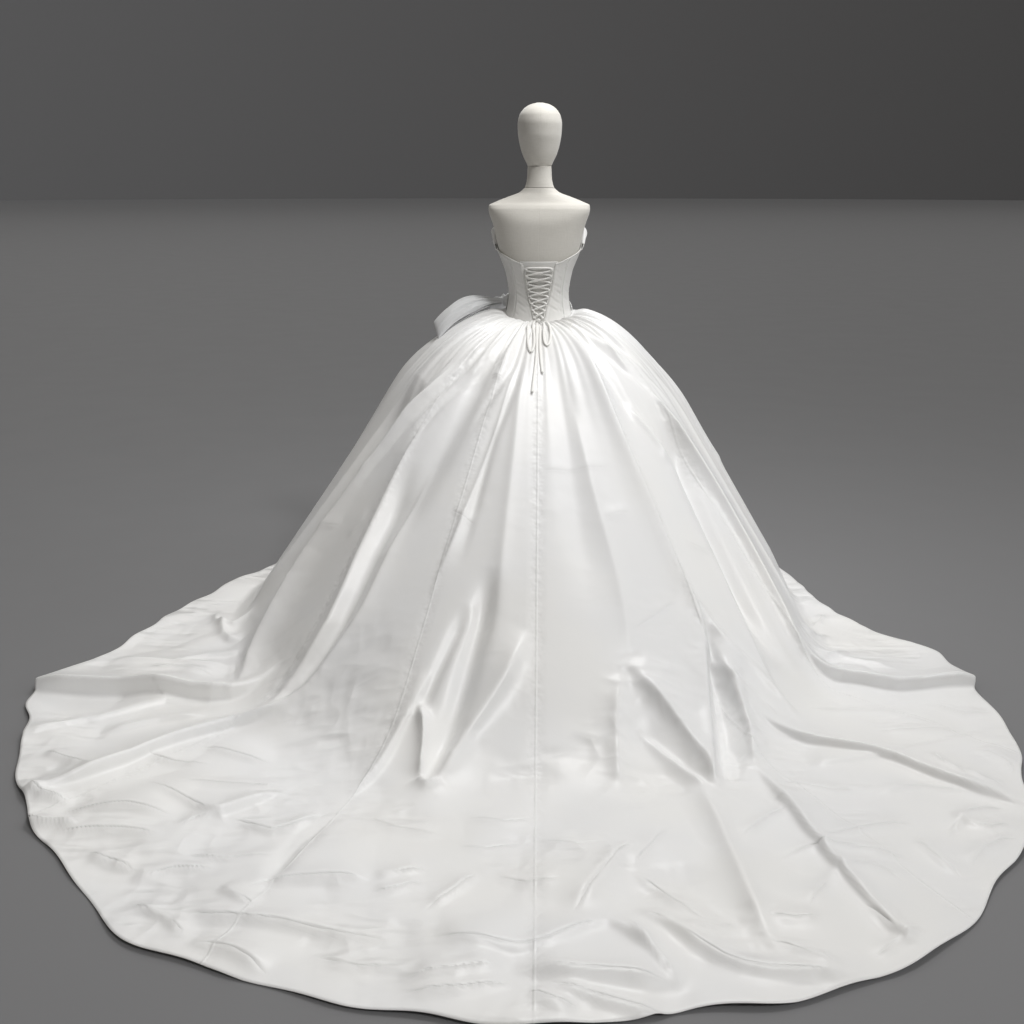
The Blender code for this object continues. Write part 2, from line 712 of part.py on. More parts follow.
# ---------------------------------------------------------------- the skirt
def waist_point(azimuth):
    """Radius and height of the skirt's top edge at an azimuth."""
    angle = math.radians(azimuth)
    top, bottom = bodice_edge(azimuth)
    half, behind, front, square = smooth_row(FORM, bottom + WAIST_LIFT)
    off = BODICE_CLEAR + SATIN + 0.0008
    depth = (behind if math.cos(angle) > 0 else front) + off
    radius = 1 / math.hypot(math.sin(angle) / (half + off), math.cos(angle) / depth)
    return radius, bottom + WAIST_LIFT


def skirt_base(azimuth, radius):
    """Height of the plain skirt, before its pleats and folds."""
    turned = (azimuth + 180) % 360 - 180
    floor_radius, hem, bend, landing = smooth_row(SKIRT_PLAN, turned)
    waist, high = waist_point(azimuth)
    share = (radius - waist) / (floor_radius - waist)
    turn = 1 - math.sqrt(1 - 1 / bend)
    if share < turn:
        drop = bend * share * share
    else:
        drop = bend * turn * (2 * share - turn)
    height = high * (1 - drop)
    if height >= landing:
        return height
    if height <= -landing:
        return 0.0
    return (height + landing) ** 2 / (4 * landing)


def place(azimuth, radius, height):
    angle = math.radians(azimuth)
    return Vector((radius * math.sin(angle), radius * math.cos(angle), height))


def fold_relief(x, y):
    """Sum of the large folds at a place in plan."""
    total = 0.0
    for height, left, right, route in FOLDS:
        lengths = [math.dist(a, b) for a, b in zip(route, route[1:])]
        best = 9.0
        passed = 0.0
        for (ax, ay), (bx, by), length in zip(route, route[1:], lengths):
            share = ((x - ax) * (bx - ax) + (y - ay) * (by - ay)) / length ** 2
            share = min(max(share, 0.0), 1.0)
            dx = x - ax - share * (bx - ax)
            dy = y - ay - share * (by - ay)
            distance = math.hypot(dx, dy)
            if distance < best:
                best = distance
                px = x - ax
                py = y - ay
                side = ((bx - ax) * py - (by - ay) * px) / length
                lean = min(max(side / max(distance, 1e-6), -1.0), 1.0)
                along = (passed + share * length) / sum(lengths)
            passed += length
        width = (left + right) / 2 + lean * (left - right) / 2
        if best < 3 * width:
            fade = ease(along / 0.30 + 0.15) * ease((1 - along) / 0.25 + 0.25)
            total += height * fade * math.exp(-(best / width) ** 2)
    return total


def pleat_relief(azimuth, radius):
    """Sum of the pleats sewn into the waist."""
    out = radius - waist_point(azimuth)[0]
    total = 0.0
    for middle, width, height, length in PLEATS:
        gap = (azimuth - middle + 180) % 360 - 180
        if out < length and abs(gap) < 3 * width:
            share = out / length
            fade = (1 - share) ** 2 * (1 + 2 * share) * (0.25 + 0.75 * ease(out / 0.05))
            total += height * fade * math.exp(-(gap / width) ** 2)
    return total


def skirt_point(azimuth, radius):
    """A point on the skirt's inner face."""
    height = skirt_base(azimuth, radius)
    step = 0.004
    slope = (skirt_base(azimuth, radius + step) - skirt_base(azimuth, radius)) / step
    lean = math.atan(slope)
    flat = place(azimuth, radius, height)
    relief = fold_relief(flat.x, flat.y) * ease((radius - 0.12) / 0.12)
    relief += pleat_relief(azimuth, radius)
    lift = Vector((0, 0, math.cos(lean))) - place(azimuth, math.sin(lean), 0.0)
    point = flat + lift * relief
    if point.z < 0.0:
        point.z = 0.0
    return point


def skirt_normal(azimuth, radius):
    step = 0.03 * min(radius, 1.0)
    turn = math.degrees(step / radius)
    around = skirt_point(azimuth + turn, radius) - skirt_point(azimuth - turn, radius)
    outward = skirt_point(azimuth, radius + step) - skirt_point(azimuth, radius - step * 0.5)
    normal = outward.cross(around)
    if normal.z < 0:
        normal.negate()
    return normal.normalized()


def ring_radius(azimuth, row):
    turned = (azimuth + 180) % 360 - 180
    floor_radius, hem, bend, landing = smooth_row(SKIRT_PLAN, turned)
    waist = waist_point(azimuth)[0]
    if row < len(HANG_ROWS):
        return waist + (floor_radius - waist) * HANG_ROWS[row]
    return floor_radius + (hem - floor_radius) * FLOOR_ROWS[row - len(HANG_ROWS)]


def make_skirt():
    rows = len(HANG_ROWS) + len(FLOOR_ROWS)
    for name, start, end, columns in GORES:
        inner = []
        outer = []
        for row in range(rows):
            inner_row = []
            outer_row = []
            for c in range(columns + 1):
                azimuth = start + (end - start) * c / columns
                radius = ring_radius(azimuth, row)
                shift = math.degrees(SEAM_GAP * 0.6 / radius)
                if c == 0:
                    azimuth += shift
                if c == columns:
                    azimuth -= shift
                point = skirt_point(azimuth, radius)
                normal = skirt_normal(azimuth, radius)
                if c in (0, columns):
                    # a gore's cut edge stays in the plane of its seam
                    across = place(azimuth + 90, 1.0, 0.0)
                    normal = (normal - across * normal.dot(across)).normalized()
                inner_row.append(point)
                outer_row.append(point + normal * SATIN)
            inner.append(inner_row)
            outer.append(outer_row)
        wall(name, inner, outer, "satin")


def on_skirt(x, y, lift):
    azimuth = math.degrees(math.atan2(x, y))
    radius = math.hypot(x, y)
    return skirt_point(azimuth, radius) + skirt_normal(azimuth, radius) * (SATIN + lift)


def make_ties():
    """The lace's ends, tied in a bow that lies on the back of the skirt."""
    for name, route in TIES:
        points = [on_skirt(x, y, TIE_LIFT + LACE / 2) for x, y in route]
        tube(name, smooth_route(points, 34), LACE, "ribbon")
    points = [on_skirt(x, y, 0.003 + HANGER_CORD / 2) for x, y in HANGER]
    tube("hanger_loop", smooth_route(points, 34), HANGER_CORD, "ribbon")

    rings = []
    middle = form_point(1.064, 0, 0.011)
    for n in range(7):
        share = n / 6
        radius = 0.0022 + 0.0036 * math.sin(math.pi * share) ** 0.8
        ring = []
        for c in range(12):
            angle = 2 * math.pi * c / 12
            ring.append(middle + Vector((
                0.010 * (share - 0.5), radius * 0.8 * math.cos(angle),
                radius * math.sin(angle))))
        rings.append(ring)
    loft("tie_knot", rings, "ribbon")


clear_scene()
make_form()
make_stand()
make_bodice()
make_sash()
make_bow()
make_lacing()
make_skirt()
make_ties()
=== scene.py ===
# %% [markdown]
# # A strapless satin gown with a round train
#
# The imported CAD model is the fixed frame: it gives every piece its place and size.
# This file gives each piece its looks. The skirt is the main form. It is one surface,
# worked out from a plan of its hem, a profile from waist to floor, and tables of
# pleats, folds and creases, and it is then cut into gores like the real one.

# %% The frame
import json
import math

import bmesh
import bpy
import numpy as np
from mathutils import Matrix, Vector

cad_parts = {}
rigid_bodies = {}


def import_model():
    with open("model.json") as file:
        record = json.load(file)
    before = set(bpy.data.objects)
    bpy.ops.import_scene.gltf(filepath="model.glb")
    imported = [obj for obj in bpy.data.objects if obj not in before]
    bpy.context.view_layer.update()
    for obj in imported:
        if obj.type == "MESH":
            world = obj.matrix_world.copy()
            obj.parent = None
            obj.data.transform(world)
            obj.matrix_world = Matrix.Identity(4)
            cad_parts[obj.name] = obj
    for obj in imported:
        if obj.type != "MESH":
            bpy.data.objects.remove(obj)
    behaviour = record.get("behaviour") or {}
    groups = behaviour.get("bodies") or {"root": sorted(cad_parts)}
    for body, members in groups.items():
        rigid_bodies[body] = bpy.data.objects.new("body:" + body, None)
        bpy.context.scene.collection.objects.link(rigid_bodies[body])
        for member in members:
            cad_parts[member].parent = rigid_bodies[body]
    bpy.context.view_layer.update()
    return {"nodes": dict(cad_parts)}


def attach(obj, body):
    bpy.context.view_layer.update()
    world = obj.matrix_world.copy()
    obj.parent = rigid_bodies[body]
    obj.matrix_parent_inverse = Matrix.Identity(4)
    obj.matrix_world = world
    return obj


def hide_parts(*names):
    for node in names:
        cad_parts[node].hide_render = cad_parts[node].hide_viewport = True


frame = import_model()
print("CAD nodes:", len(frame["nodes"]))


# %% [markdown]
# ## Helpers for shape
#
# Cloth is described by short tables, such as the width of the form at a few heights.
# A smooth curve through a table's rows must not overshoot, or the form would bulge
# between them, so the slopes are limited where a column turns.

# %% Smooth curves and grids
def curve_through(table):
    """A smooth function of a table's first column that gives the other columns."""
    rows = np.array(table, float)
    keys, values = rows[:, 0], rows[:, 1:]
    step = np.diff(keys)[:, None]
    secant = np.diff(values, axis=0) / step
    slope = np.zeros_like(values)
    slope[0], slope[-1] = secant[0], secant[-1]
    before, after = secant[:-1], secant[1:]
    turns = before * after <= 0
    total = np.where(turns, 1.0, before + after)
    slope[1:-1] = np.where(turns, 0.0, 2 * before * after / total)

    def read(x):
        x = np.clip(np.asarray(x, float), keys[0], keys[-1])
        low = np.clip(np.searchsorted(keys, x, side="right") - 1, 0, len(keys) - 2)
        share = ((x - keys[low]) / (keys[low + 1] - keys[low]))[..., None]
        s2, s3 = share ** 2, share ** 3
        bend = slope[low] * (s3 - 2 * s2 + share) + slope[low + 1] * (s3 - s2)
        return (values[low] * (2 * s3 - 3 * s2 + 1) + values[low + 1] * (3 * s2 - 2 * s3)
                + step[low] * bend)

    return read


def ease(share):
    """A smooth step from 0 to 1."""
    share = np.clip(share, 0.0, 1.0)
    return share * share * (3 - 2 * share)


def full_turn(count):
    return np.linspace(0, 2 * np.pi, count, endpoint=False)


def add_object(name, data):
    item = bpy.data.objects.new(name, data)
    bpy.context.collection.objects.link(item)
    return item


def new_object(name, data, material, node):
    """Puts a mesh or curve in the scene as the piece that stands for a CAD node."""
    piece = add_object(name, data)
    piece.data.materials.append(material)
    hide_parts(node)
    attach(piece, "root")
    return piece


def grid_faces(rows, columns, around=False, first=0):
    """Quads between the points of a grid, row by row."""
    last = columns if around else columns - 1
    r, c = np.meshgrid(np.arange(rows - 1), np.arange(last), indexing="ij")
    a = r * columns + c
    b = r * columns + (c + 1) % columns
    return np.stack([a, b, b + columns, a + columns], -1).reshape(-1, 4) + first


def build_mesh(name, points, faces, values=None, more_faces=()):
    """A smooth mesh from arrays, with one number per point for each named value."""
    mesh = bpy.data.meshes.new(name)
    mesh.from_pydata(points.reshape(-1, 3).tolist(), [], faces.tolist() + list(more_faces))
    mesh.shade_smooth()
    for key, numbers in (values or {}).items():
        layer = mesh.attributes.new(key, "FLOAT", "POINT")
        layer.data.foreach_set("value", np.ascontiguousarray(numbers, float).ravel())
    return mesh


def make_face_out(mesh):
    """Turns a closed mesh's faces outwards."""
    shell = bmesh.new()
    shell.from_mesh(mesh)
    bmesh.ops.recalc_face_normals(shell, faces=shell.faces)
    shell.to_mesh(mesh)
    shell.free()


NO_SEAM = 0.05    # the distance to a seam that a piece without one stores


def closed_mesh(name, rings, seam=NO_SEAM):
    """A closed solid through rings of points, with a cap at each end."""
    rows, columns = rings.shape[:2]
    caps = [list(range(columns)), list(range((rows - 1) * columns, rows * columns))]
    mesh = build_mesh(name, rings, grid_faces(rows, columns, around=True),
                      {"seam": np.broadcast_to(seam, (rows, columns))}, caps)
    make_face_out(mesh)
    return mesh


def wall_mesh(name, outer, inner, seam):
    """A closed wall of cloth between two grids, sealed along its edges."""
    rows, columns = outer.shape[:2]
    count = rows * columns
    front = grid_faces(rows, columns)
    back = grid_faces(rows, columns, first=count)[:, ::-1]
    top = np.arange(columns)
    right = np.arange(1, rows) * columns + columns - 1
    bottom = (rows - 1) * columns + np.arange(columns - 2, -1, -1)
    left = np.arange(rows - 2, 0, -1) * columns
    rim = np.concatenate([top, right, bottom, left])
    after = np.roll(rim, -1)
    edge = np.stack([after, rim, rim + count, after + count], -1)
    faces = np.concatenate([front, back, edge])
    points = np.concatenate([outer.reshape(-1, 3), inner.reshape(-1, 3)])
    seam = np.broadcast_to(seam, (rows, columns)).ravel()
    mesh = build_mesh(name, points, faces, {"seam": np.concatenate([seam, seam])})
    make_face_out(mesh)
    return mesh


def make_cloth(node, outer, inner, material, seam=NO_SEAM):
    """A walled piece of cloth for a CAD node."""
    name = "satin_" + node
    piece = new_object(name, wall_mesh(name, outer, inner, seam), material, node)


# %% [markdown]
# ## Shader helpers
#
# A material's sums read best as sums. This small class wraps a socket so that `+`,
# `-`, `*` and `/` add Math nodes, and one method adds any other node.

# %% Sums of sockets
class Value:
    """A socket of a material that can be used in sums."""

    def __init__(self, tree, socket):
        self.tree = tree
        self.socket = socket

    def math(self, operation, other, swapped=False):
        made = self.tree.nodes.new("ShaderNodeMath")
        made.operation = operation
        first, second = (other, self) if swapped else (self, other)
        for place, item in zip(made.inputs, (first, second)):
            if isinstance(item, Value):
                self.tree.links.new(item.socket, place)
            else:
                place.default_value = item
        return Value(self.tree, made.outputs[0])

    def __add__(self, other):
        return self.math("ADD", other)

    def __radd__(self, other):
        return self.math("ADD", other, True)

    def __sub__(self, other):
        return self.math("SUBTRACT", other)

    def __rsub__(self, other):
        return self.math("SUBTRACT", other, True)

    def __mul__(self, other):
        return self.math("MULTIPLY", other)

    def __truediv__(self, other):
        return self.math("DIVIDE", other)

    def power(self, other):
        return self.math("POWER", other)

    def at_least(self, other):
        return self.math("MAXIMUM", other)


class Finish:
    """A material with one main shader, and the nodes that feed it."""

    def __init__(self, name, colour, roughness, **sockets):
        self.material = bpy.data.materials.new(name)
        self.material.use_nodes = True
        self.tree = self.material.node_tree
        self.shader = self.tree.nodes["Principled BSDF"]
        self.shader.inputs["Base Color"].default_value = (*colour, 1.0)
        self.shader.inputs["Roughness"].default_value = roughness
        for key, number in sockets.items():
            self.shader.inputs[key.replace("_", " ")].default_value = number
        self.place = self.node("TexCoord", output="Object")

    def node(self, kind, settings=None, sockets=None, output=0):
        """Adds a node: its settings first, then the values or links of its sockets."""
        made = self.tree.nodes.new("ShaderNode" + kind)
        for key, setting in (settings or {}).items():
            setattr(made, key, setting)
        for key, item in (sockets or {}).items():
            if isinstance(item, Value):
                self.tree.links.new(item.socket, made.inputs[key])
            else:
                made.inputs[key].default_value = item
        return Value(self.tree, made.outputs[output])

    def noise(self, scale, detail, stretch=(1, 1, 1)):
        place = self.node("Mapping", None, {"Vector": self.place, "Scale": stretch})
        return self.node("TexNoise", None, {
            "Vector": place, "Scale": scale, "Detail": detail})

    def value(self, name):
        """A number stored on the mesh's points."""
        return self.node("Attribute", {"attribute_name": name}, output="Fac")

    def between(self, share, low, high):
        """One of two colours, or a mix of them."""
        return self.node("Mix", {"data_type": "RGBA"}, {
            "Factor": share, 6: (*low, 1.0), 7: (*high, 1.0)}, output=2)

    def remap(self, number, low, high, start=0.0, end=1.0):
        return self.node("MapRange", {"interpolation_type": "SMOOTHSTEP"}, {
            "Value": number, "From Min": low, "From Max": high,
            "To Min": start, "To Max": end})

    def feed(self, socket, item):
        self.tree.links.new(item.socket, self.shader.inputs[socket])

    def bump(self, height):
        """Bump by a height in metres."""
        self.feed("Normal", self.node("Bump", None, {
            "Height": height, "Distance": 1.0, "Strength": 1.0}))


# %% [markdown]
# ## The finishes
#
# Bridal satin is a dense weave with long floats. It has a soft, broad highlight, a
# little sheen at grazing angles, and a faint crumple that never irons out. The colour
# is a white with a trace of cream, so light that bounces between folds turns warm.
# Each piece stores how far its points are from a seam, which draws the seam. The gores
# of the skirt also store how far they are from a crease, which draws its sharp crest.

# %% Satin
RIPPLES = (
    # scale, stretch and share of the depth, for three sets of small folds
    (6.5, (0.55, 1.5, 1.0), 1.0), (13.0, (0.6, 1.3, 0.8), 0.5),
    (10.0, (1.2, 0.7, 0.6), 0.5),
)
RIPPLE_ROUND = 0.004                    # rounds the crest of a ripple
CREST_WIDTH, CREST_HEIGHT = 0.022, 0.0052
CREST_ROUND = 0.0000002                 # rounds the crest of a crease
GROOVE_DEPTH, PUCKER_HEIGHT, WEAVE_HEIGHT = 0.0007, 0.0026, 0.00004


def rounded_size(value, rounding):
    """The size of a value without its sign, with the corner at nought rounded."""
    return (value * value + rounding).power(0.5)


def make_satin(name, colour, shade, roughness, crumple, ripple=0.0):
    """Satin in two close colours; crumple and ripple are heights in metres."""
    satin = Finish(name, colour, roughness, Sheen_Weight=0.15, Sheen_Roughness=0.4,
                   Specular_IOR_Level=0.55)
    drift = satin.remap(satin.noise(2.2, 3.0), 0.35, 0.65)
    satin.feed("Base Color", satin.between(drift, colour, shade))
    satin.feed("Roughness", roughness - 0.06 + satin.noise(9.0, 3.0) * 0.12)
    soft = satin.noise(5.0, 3.0)
    fine = satin.noise(34.0, 3.0, stretch=(1, 1, 0.5))
    weave = satin.noise(900.0, 1.0, stretch=(1, 1, 3))
    height = soft * crumple + fine * (0.08 * crumple) + weave * WEAVE_HEIGHT
    if ripple:
        up = satin.node("SeparateXYZ", None, {"Vector": satin.place}, output=2)
        near_floor = satin.remap(up, 0.04, 0.45, 1.0, 0.15)
        patches = satin.remap(satin.noise(2.6, 2.0), 0.45, 0.62) * near_floor
        for scale, stretch, depth in RIPPLES:
            folded = satin.noise(scale, 1.0, stretch) * 2 - 1
            height = height - rounded_size(folded, RIPPLE_ROUND) * patches * (ripple * depth)
        away = rounded_size(satin.value("crest"), CREST_ROUND)
        tent = (1 - away / CREST_WIDTH).at_least(0.0)
        height = height + tent.power(2.0) * satin.value("strength") * CREST_HEIGHT
    seam = satin.value("seam")
    groove = satin.remap(seam, 0.0, 0.005)
    pucker = (1 - satin.remap(seam, 0.002, 0.034)) * satin.noise(46.0, 1.0)
    satin.bump(height + groove * GROOVE_DEPTH + pucker * PUCKER_HEIGHT)
    return satin.material


skirt_satin = make_satin("skirt_satin", (0.905, 0.90, 0.885), (0.885, 0.885, 0.885),
                         0.38, 0.0026, ripple=0.014)
bodice_satin = make_satin("bodice_satin", (0.87, 0.86, 0.83), (0.855, 0.85, 0.83),
                          0.42, 0.0008)
bow_satin = make_satin("bow_satin", (0.87, 0.88, 0.90), (0.86, 0.87, 0.88), 0.34, 0.0015)
ribbon_satin = make_satin("ribbon_satin", (0.91, 0.90, 0.87), (0.90, 0.895, 0.87),
                          0.38, 0.0002)


# %% Linen and powder coat
def make_linen():
    linen = Finish("form_linen", (0.76, 0.735, 0.675), 0.88, Sheen_Weight=0.3)
    warp = linen.noise(420.0, 1.0, stretch=(1, 1, 0.08))
    weft = linen.noise(420.0, 1.0, stretch=(0.08, 0.08, 1))
    cloth = warp * 0.5 + weft * 0.5
    patch = linen.noise(5.0, 2.0)
    share = linen.remap(cloth * 0.6 + patch * 0.4, 0.35, 0.65)
    linen.feed("Base Color",
               linen.between(share, (0.735, 0.71, 0.65), (0.79, 0.765, 0.71)))
    seam = linen.value("seam")
    groove = linen.remap(seam, 0.0, 0.0016)
    stitch = (1 - linen.remap(seam, 0.0012, 0.0032)) * linen.noise(220.0, 1.0)
    linen.bump(cloth * 0.0003 + groove * 0.0005 + stitch * 0.0003)
    return linen.material


def make_paint():
    colour, worn_colour = (0.80, 0.79, 0.76), (0.76, 0.75, 0.72)
    paint = Finish("stand_paint", colour, 0.45)
    peel = paint.noise(260.0, 2.0)
    paint.feed("Roughness", 0.40 + peel * 0.12)
    worn = paint.remap(paint.noise(14.0, 3.0), 0.55, 0.75)
    paint.feed("Base Color", paint.between(worn, colour, worn_colour))
    paint.bump(peel * 0.0003)
    return paint.material


form_linen = make_linen()
stand_paint = make_paint()
for node in ("stand_base", "stand_pole"):
    materials = frame["nodes"][node].data.materials
    materials.clear()
    materials.append(stand_paint)
print("finishes made")

# %% [markdown]
# ## The form
#
# The dress form is a padded shell under stretched linen, with a seam down the middle
# of its back and front. It is lofted through rings. Each ring is an ellipse that grows
# squarer towards the shoulders, where the arms would start.

# %% The form's sizes
FORM = (
    # height, half width, depth behind, depth in front, squareness
    (0.800, 0.150, 0.100, 0.085, 2.0),
    (0.920, 0.162, 0.112, 0.092, 2.0),
    (1.000, 0.145, 0.105, 0.090, 2.0),
    (1.060, 0.119, 0.090, 0.084, 2.0),
    (1.150, 0.104, 0.074, 0.077, 2.0),
    (1.220, 0.114, 0.081, 0.086, 2.1),
    (1.300, 0.143, 0.094, 0.104, 2.2),
    (1.390, 0.164, 0.096, 0.094, 2.5),
    (1.445, 0.180, 0.082, 0.074, 3.0),
    (1.458, 0.179, 0.074, 0.066, 2.8),
    (1.470, 0.156, 0.062, 0.057, 2.6),
    (1.488, 0.110, 0.052, 0.048, 2.3),
    (1.502, 0.072, 0.046, 0.044, 2.1),
    (1.517, 0.053, 0.042, 0.041, 2.0),
)
NECK = (
    # height, half width, half depth, how far forward
    (1.5173, 0.0530, 0.042, 0.000),
    (1.530, 0.0480, 0.041, -0.001),
    (1.550, 0.0440, 0.041, -0.005),
    (1.5917, 0.0420, 0.042, -0.014),
)
HEAD = (
    # the same columns
    (1.592, 0.0420, 0.042, -0.014),
    (1.607, 0.0490, 0.060, -0.019),
    (1.628, 0.0595, 0.076, -0.024),
    (1.664, 0.0705, 0.092, -0.028),
    (1.700, 0.0765, 0.100, -0.027),
    (1.732, 0.0780, 0.099, -0.024),
    (1.760, 0.0725, 0.091, -0.022),
    (1.782, 0.0580, 0.072, -0.020),
    (1.797, 0.0350, 0.043, -0.020),
    (1.803, 0.0120, 0.015, -0.020),
)
form_at = curve_through(FORM)


def form_point(height, degrees, offset=0.0):
    """Points on the form, or that far off it; degrees run from the back to the left."""
    height, degrees = np.broadcast_arrays(np.asarray(height, float), degrees)
    half, behind, front, square = np.moveaxis(form_at(height), -1, 0)
    side, along = np.sin(np.radians(degrees)), np.cos(np.radians(degrees))
    depth = np.where(along > 0, behind, front)
    x = np.sign(side) * np.abs(side) ** (2 / square) * (half + offset)
    y = np.sign(along) * np.abs(along) ** (2 / square) * (depth + offset)
    return np.stack([x, y, height], -1)


# %% The form's three pieces
CROWN_SEAM = 1.779
PIECE_GAP = 0.0003    # between two pieces that meet


def make_form_piece(node, rings):
    """A padded solid with seams down its middle and round the crown."""
    name = "dress_" + node
    seam = np.minimum(np.abs(rings[..., 0]), np.abs(rings[..., 2] - CROWN_SEAM))
    new_object(name, closed_mesh(name, rings, seam), form_linen, node)


around = np.linspace(0, 360, 120, endpoint=False)[None, :]
heights = np.concatenate([np.linspace(0.80, 1.43, 46), np.linspace(1.434, 1.517, 44)])
make_form_piece("form_torso", form_point(heights[:, None], around))
side, back = np.sin(np.radians(around)), np.cos(np.radians(around))
for node, table, low, count, crowd in (
        ("form_neck", NECK, NECK[0][0], 20, 1.0),
        ("form_head", HEAD, HEAD[0][0] + PIECE_GAP, 60, 1.8)):
    heights = low + (table[-1][0] - low) * (1 - (1 - np.linspace(0, 1, count)) ** crowd)
    half, depth, forward = np.moveaxis(curve_through(table)(heights)[:, None], -1, 0)
    make_form_piece(node, np.stack([
        half * side, forward + depth * back, heights[:, None] + 0 * around], -1))
print("form made")

# %% [markdown]
# ## The bodice
#
# The bodice is cut in panels from boned satin. Each panel is a closed wall between
# two grids, at the height of its edges and a few millimetres off the form. The boning
# shows as narrow ridges beside the seams, and the tight lacing pulls short wrinkles
# across the waist. Both are small height changes of the outer grid.

# %% The bodice's edges
BODICE_CLEAR = 0.0030    # from the form to the satin
SATIN = 0.002
FOLD_WALL = 0.0026       # the drape and the sash
METRES_PER_DEGREE = 0.0021    # round the bodice, near enough for its seams
BODICE_EDGE = (
    # degrees from the middle of the back, top, bottom
    (0, 1.250, 1.048), (20, 1.254, 1.049), (32, 1.261, 1.051), (50, 1.278, 1.056),
    (75, 1.297, 1.068), (88, 1.312, 1.074), (98, 1.346, 1.074), (110, 1.374, 1.071),
    (130, 1.384, 1.066), (150, 1.380, 1.060), (165, 1.362, 1.056), (180, 1.346, 1.054),
)
# share of the back's height, half width of the laced gap
BACK_GAP = ((0.0, 0.015), (0.25, 0.026), (0.55, 0.041), (1.0, 0.0505))
CUP_ANGLE, CUP_REACH, CUP_DEPTH = 146, 24, 0.022
CUP_LEVEL, CUP_UP, CUP_DOWN = 1.305, 0.052, 0.068
edge_at = curve_through(BODICE_EDGE)
gap_at = curve_through(BACK_GAP)
LOW_BACK, TOP_BACK = BODICE_EDGE[0][2], BODICE_EDGE[0][1]


def back_angle(degrees):
    """Degrees from the middle of the back, on either side."""
    return np.abs((np.asarray(degrees, float) + 180) % 360 - 180)


def bodice_point(height, degrees, offset):
    """A point off the form, with the cups added in front."""
    height, degrees = np.broadcast_arrays(height, degrees)
    across = (back_angle(degrees) - CUP_ANGLE) / CUP_REACH
    up = (height - CUP_LEVEL) / np.where(height > CUP_LEVEL, CUP_UP, CUP_DOWN)
    return form_point(height, degrees, offset + CUP_DEPTH * np.exp(-across ** 2 - up ** 2))


def gap_degrees(share):
    """Where a laced edge lies, for a share of the back's height."""
    half = form_at(LOW_BACK + share * (TOP_BACK - LOW_BACK))[..., 0]
    return np.degrees(np.arcsin(gap_at(share)[..., 0] / half))


# %% The bodice's panels
PANEL_SHARE = np.linspace(0, 1, 64)[:, None]    # of its height, for each row
BONE_HEIGHT, BONE_AWAY, BONE_WIDTH = 0.0009, 0.0075, 0.0028
STITCH_DEPTH, STITCH_WIDTH = 0.0008, 0.0018
PULLS = (
    # short wrinkles drawn across the backs: degrees, height, reach in degrees, depth
    (16, 1.243, 9, 0.0009), (30, 1.226, 12, 0.0011), (40, 1.200, 9, 0.0012),
    (22, 1.206, 8, 0.0008), (34, 1.176, 13, 0.0014), (20, 1.160, 8, 0.0010),
    (41, 1.150, 10, 0.0015), (26, 1.134, 9, 0.0009), (37, 1.118, 12, 0.0013),
    (18, 1.108, 7, 0.0010), (30, 1.094, 10, 0.0012), (44, 1.085, 8, 0.0010),
    (60, 1.185, 12, 0.0011), (70, 1.150, 13, 0.0014), (64, 1.125, 10, 0.0012),
    (84, 1.165, 12, 0.0012), (80, 1.118, 11, 0.0010), (96, 1.140, 10, 0.0012),
    (112, 1.168, 12, 0.0013), (124, 1.140, 12, 0.0012), (140, 1.176, 10, 0.0009),
    (160, 1.160, 12, 0.0009), (150, 1.210, 9, 0.0010), (118, 1.220, 10, 0.0009),
)


def bodice_relief(height, degrees, edge_distance):
    """Boning ridges beside the seams, pulled wrinkles and the stitched-in edges."""
    relief = BONE_HEIGHT * np.exp(-((edge_distance - BONE_AWAY) / BONE_WIDTH) ** 2)
    relief = relief - STITCH_DEPTH * np.exp(-(edge_distance / STITCH_WIDTH) ** 2)
    for middle, level, reach, depth in PULLS:
        for side, shift in ((1, 0.0), (-1, 0.006)):
            angle = (np.asarray(degrees) + 180) % 360 - 180
            across = (side * angle - middle * (1 + shift)) / reach
            tilt = 0.010 * across * side
            up = (height - level - shift - tilt) / 0.0042
            relief = relief - depth * np.exp(-across ** 2 * 2.2 - up ** 2)
            relief = relief + 0.6 * depth * np.exp(-across ** 2 * 2.2 - (up - 2.1) ** 2)
    return relief * ease((180 - back_angle(degrees) + 4) / 10)


def make_panel(name, start, end):
    """A bodice panel between two edges, each in degrees for a share of the height."""
    first, last = start + 0 * PANEL_SHARE, end + 0 * PANEL_SHARE
    across = np.linspace(0, 1, 34)[None, :]
    degrees = first + (last - first) * across
    top, bottom = np.moveaxis(edge_at(back_angle(degrees)), -1, 0)
    height = bottom + (top - bottom) * PANEL_SHARE
    near = np.minimum(np.abs(degrees - first), np.abs(last - degrees)) * METRES_PER_DEGREE
    relief = bodice_relief(height, degrees, near)
    rim = np.minimum(PANEL_SHARE, 1 - PANEL_SHARE) * (top - bottom)
    relief = relief * ease(np.minimum(rim, near + 0.002) / 0.006)
    outer = bodice_point(height, degrees, BODICE_CLEAR + SATIN + relief)
    inner = bodice_point(height, degrees, BODICE_CLEAR)
    make_cloth("bodice_" + name, outer, inner, bodice_satin, near)


HALF_GAP = math.degrees(PIECE_GAP / 2 / 0.10)    # in degrees, 0.10 m from the middle
laced_edge = gap_degrees(PANEL_SHARE)
for name, low, high in (
        ("side_left", 49, 99), ("side_front_left", 99, 152), ("front", 152, 208),
        ("side_front_right", 208, 261), ("side_right", 261, 311)):
    make_panel(name, low + HALF_GAP, high - HALF_GAP)
make_panel("back_left", laced_edge, 49 - HALF_GAP)
make_panel("back_right", 311 + HALF_GAP, 360 - laced_edge)
print("bodice panels made")


# %% [markdown]
# The top of the back is bound with a narrow roll of satin, and a panel of the same
# satin lies behind the lacing. The bindings are cords along the panels' edge.

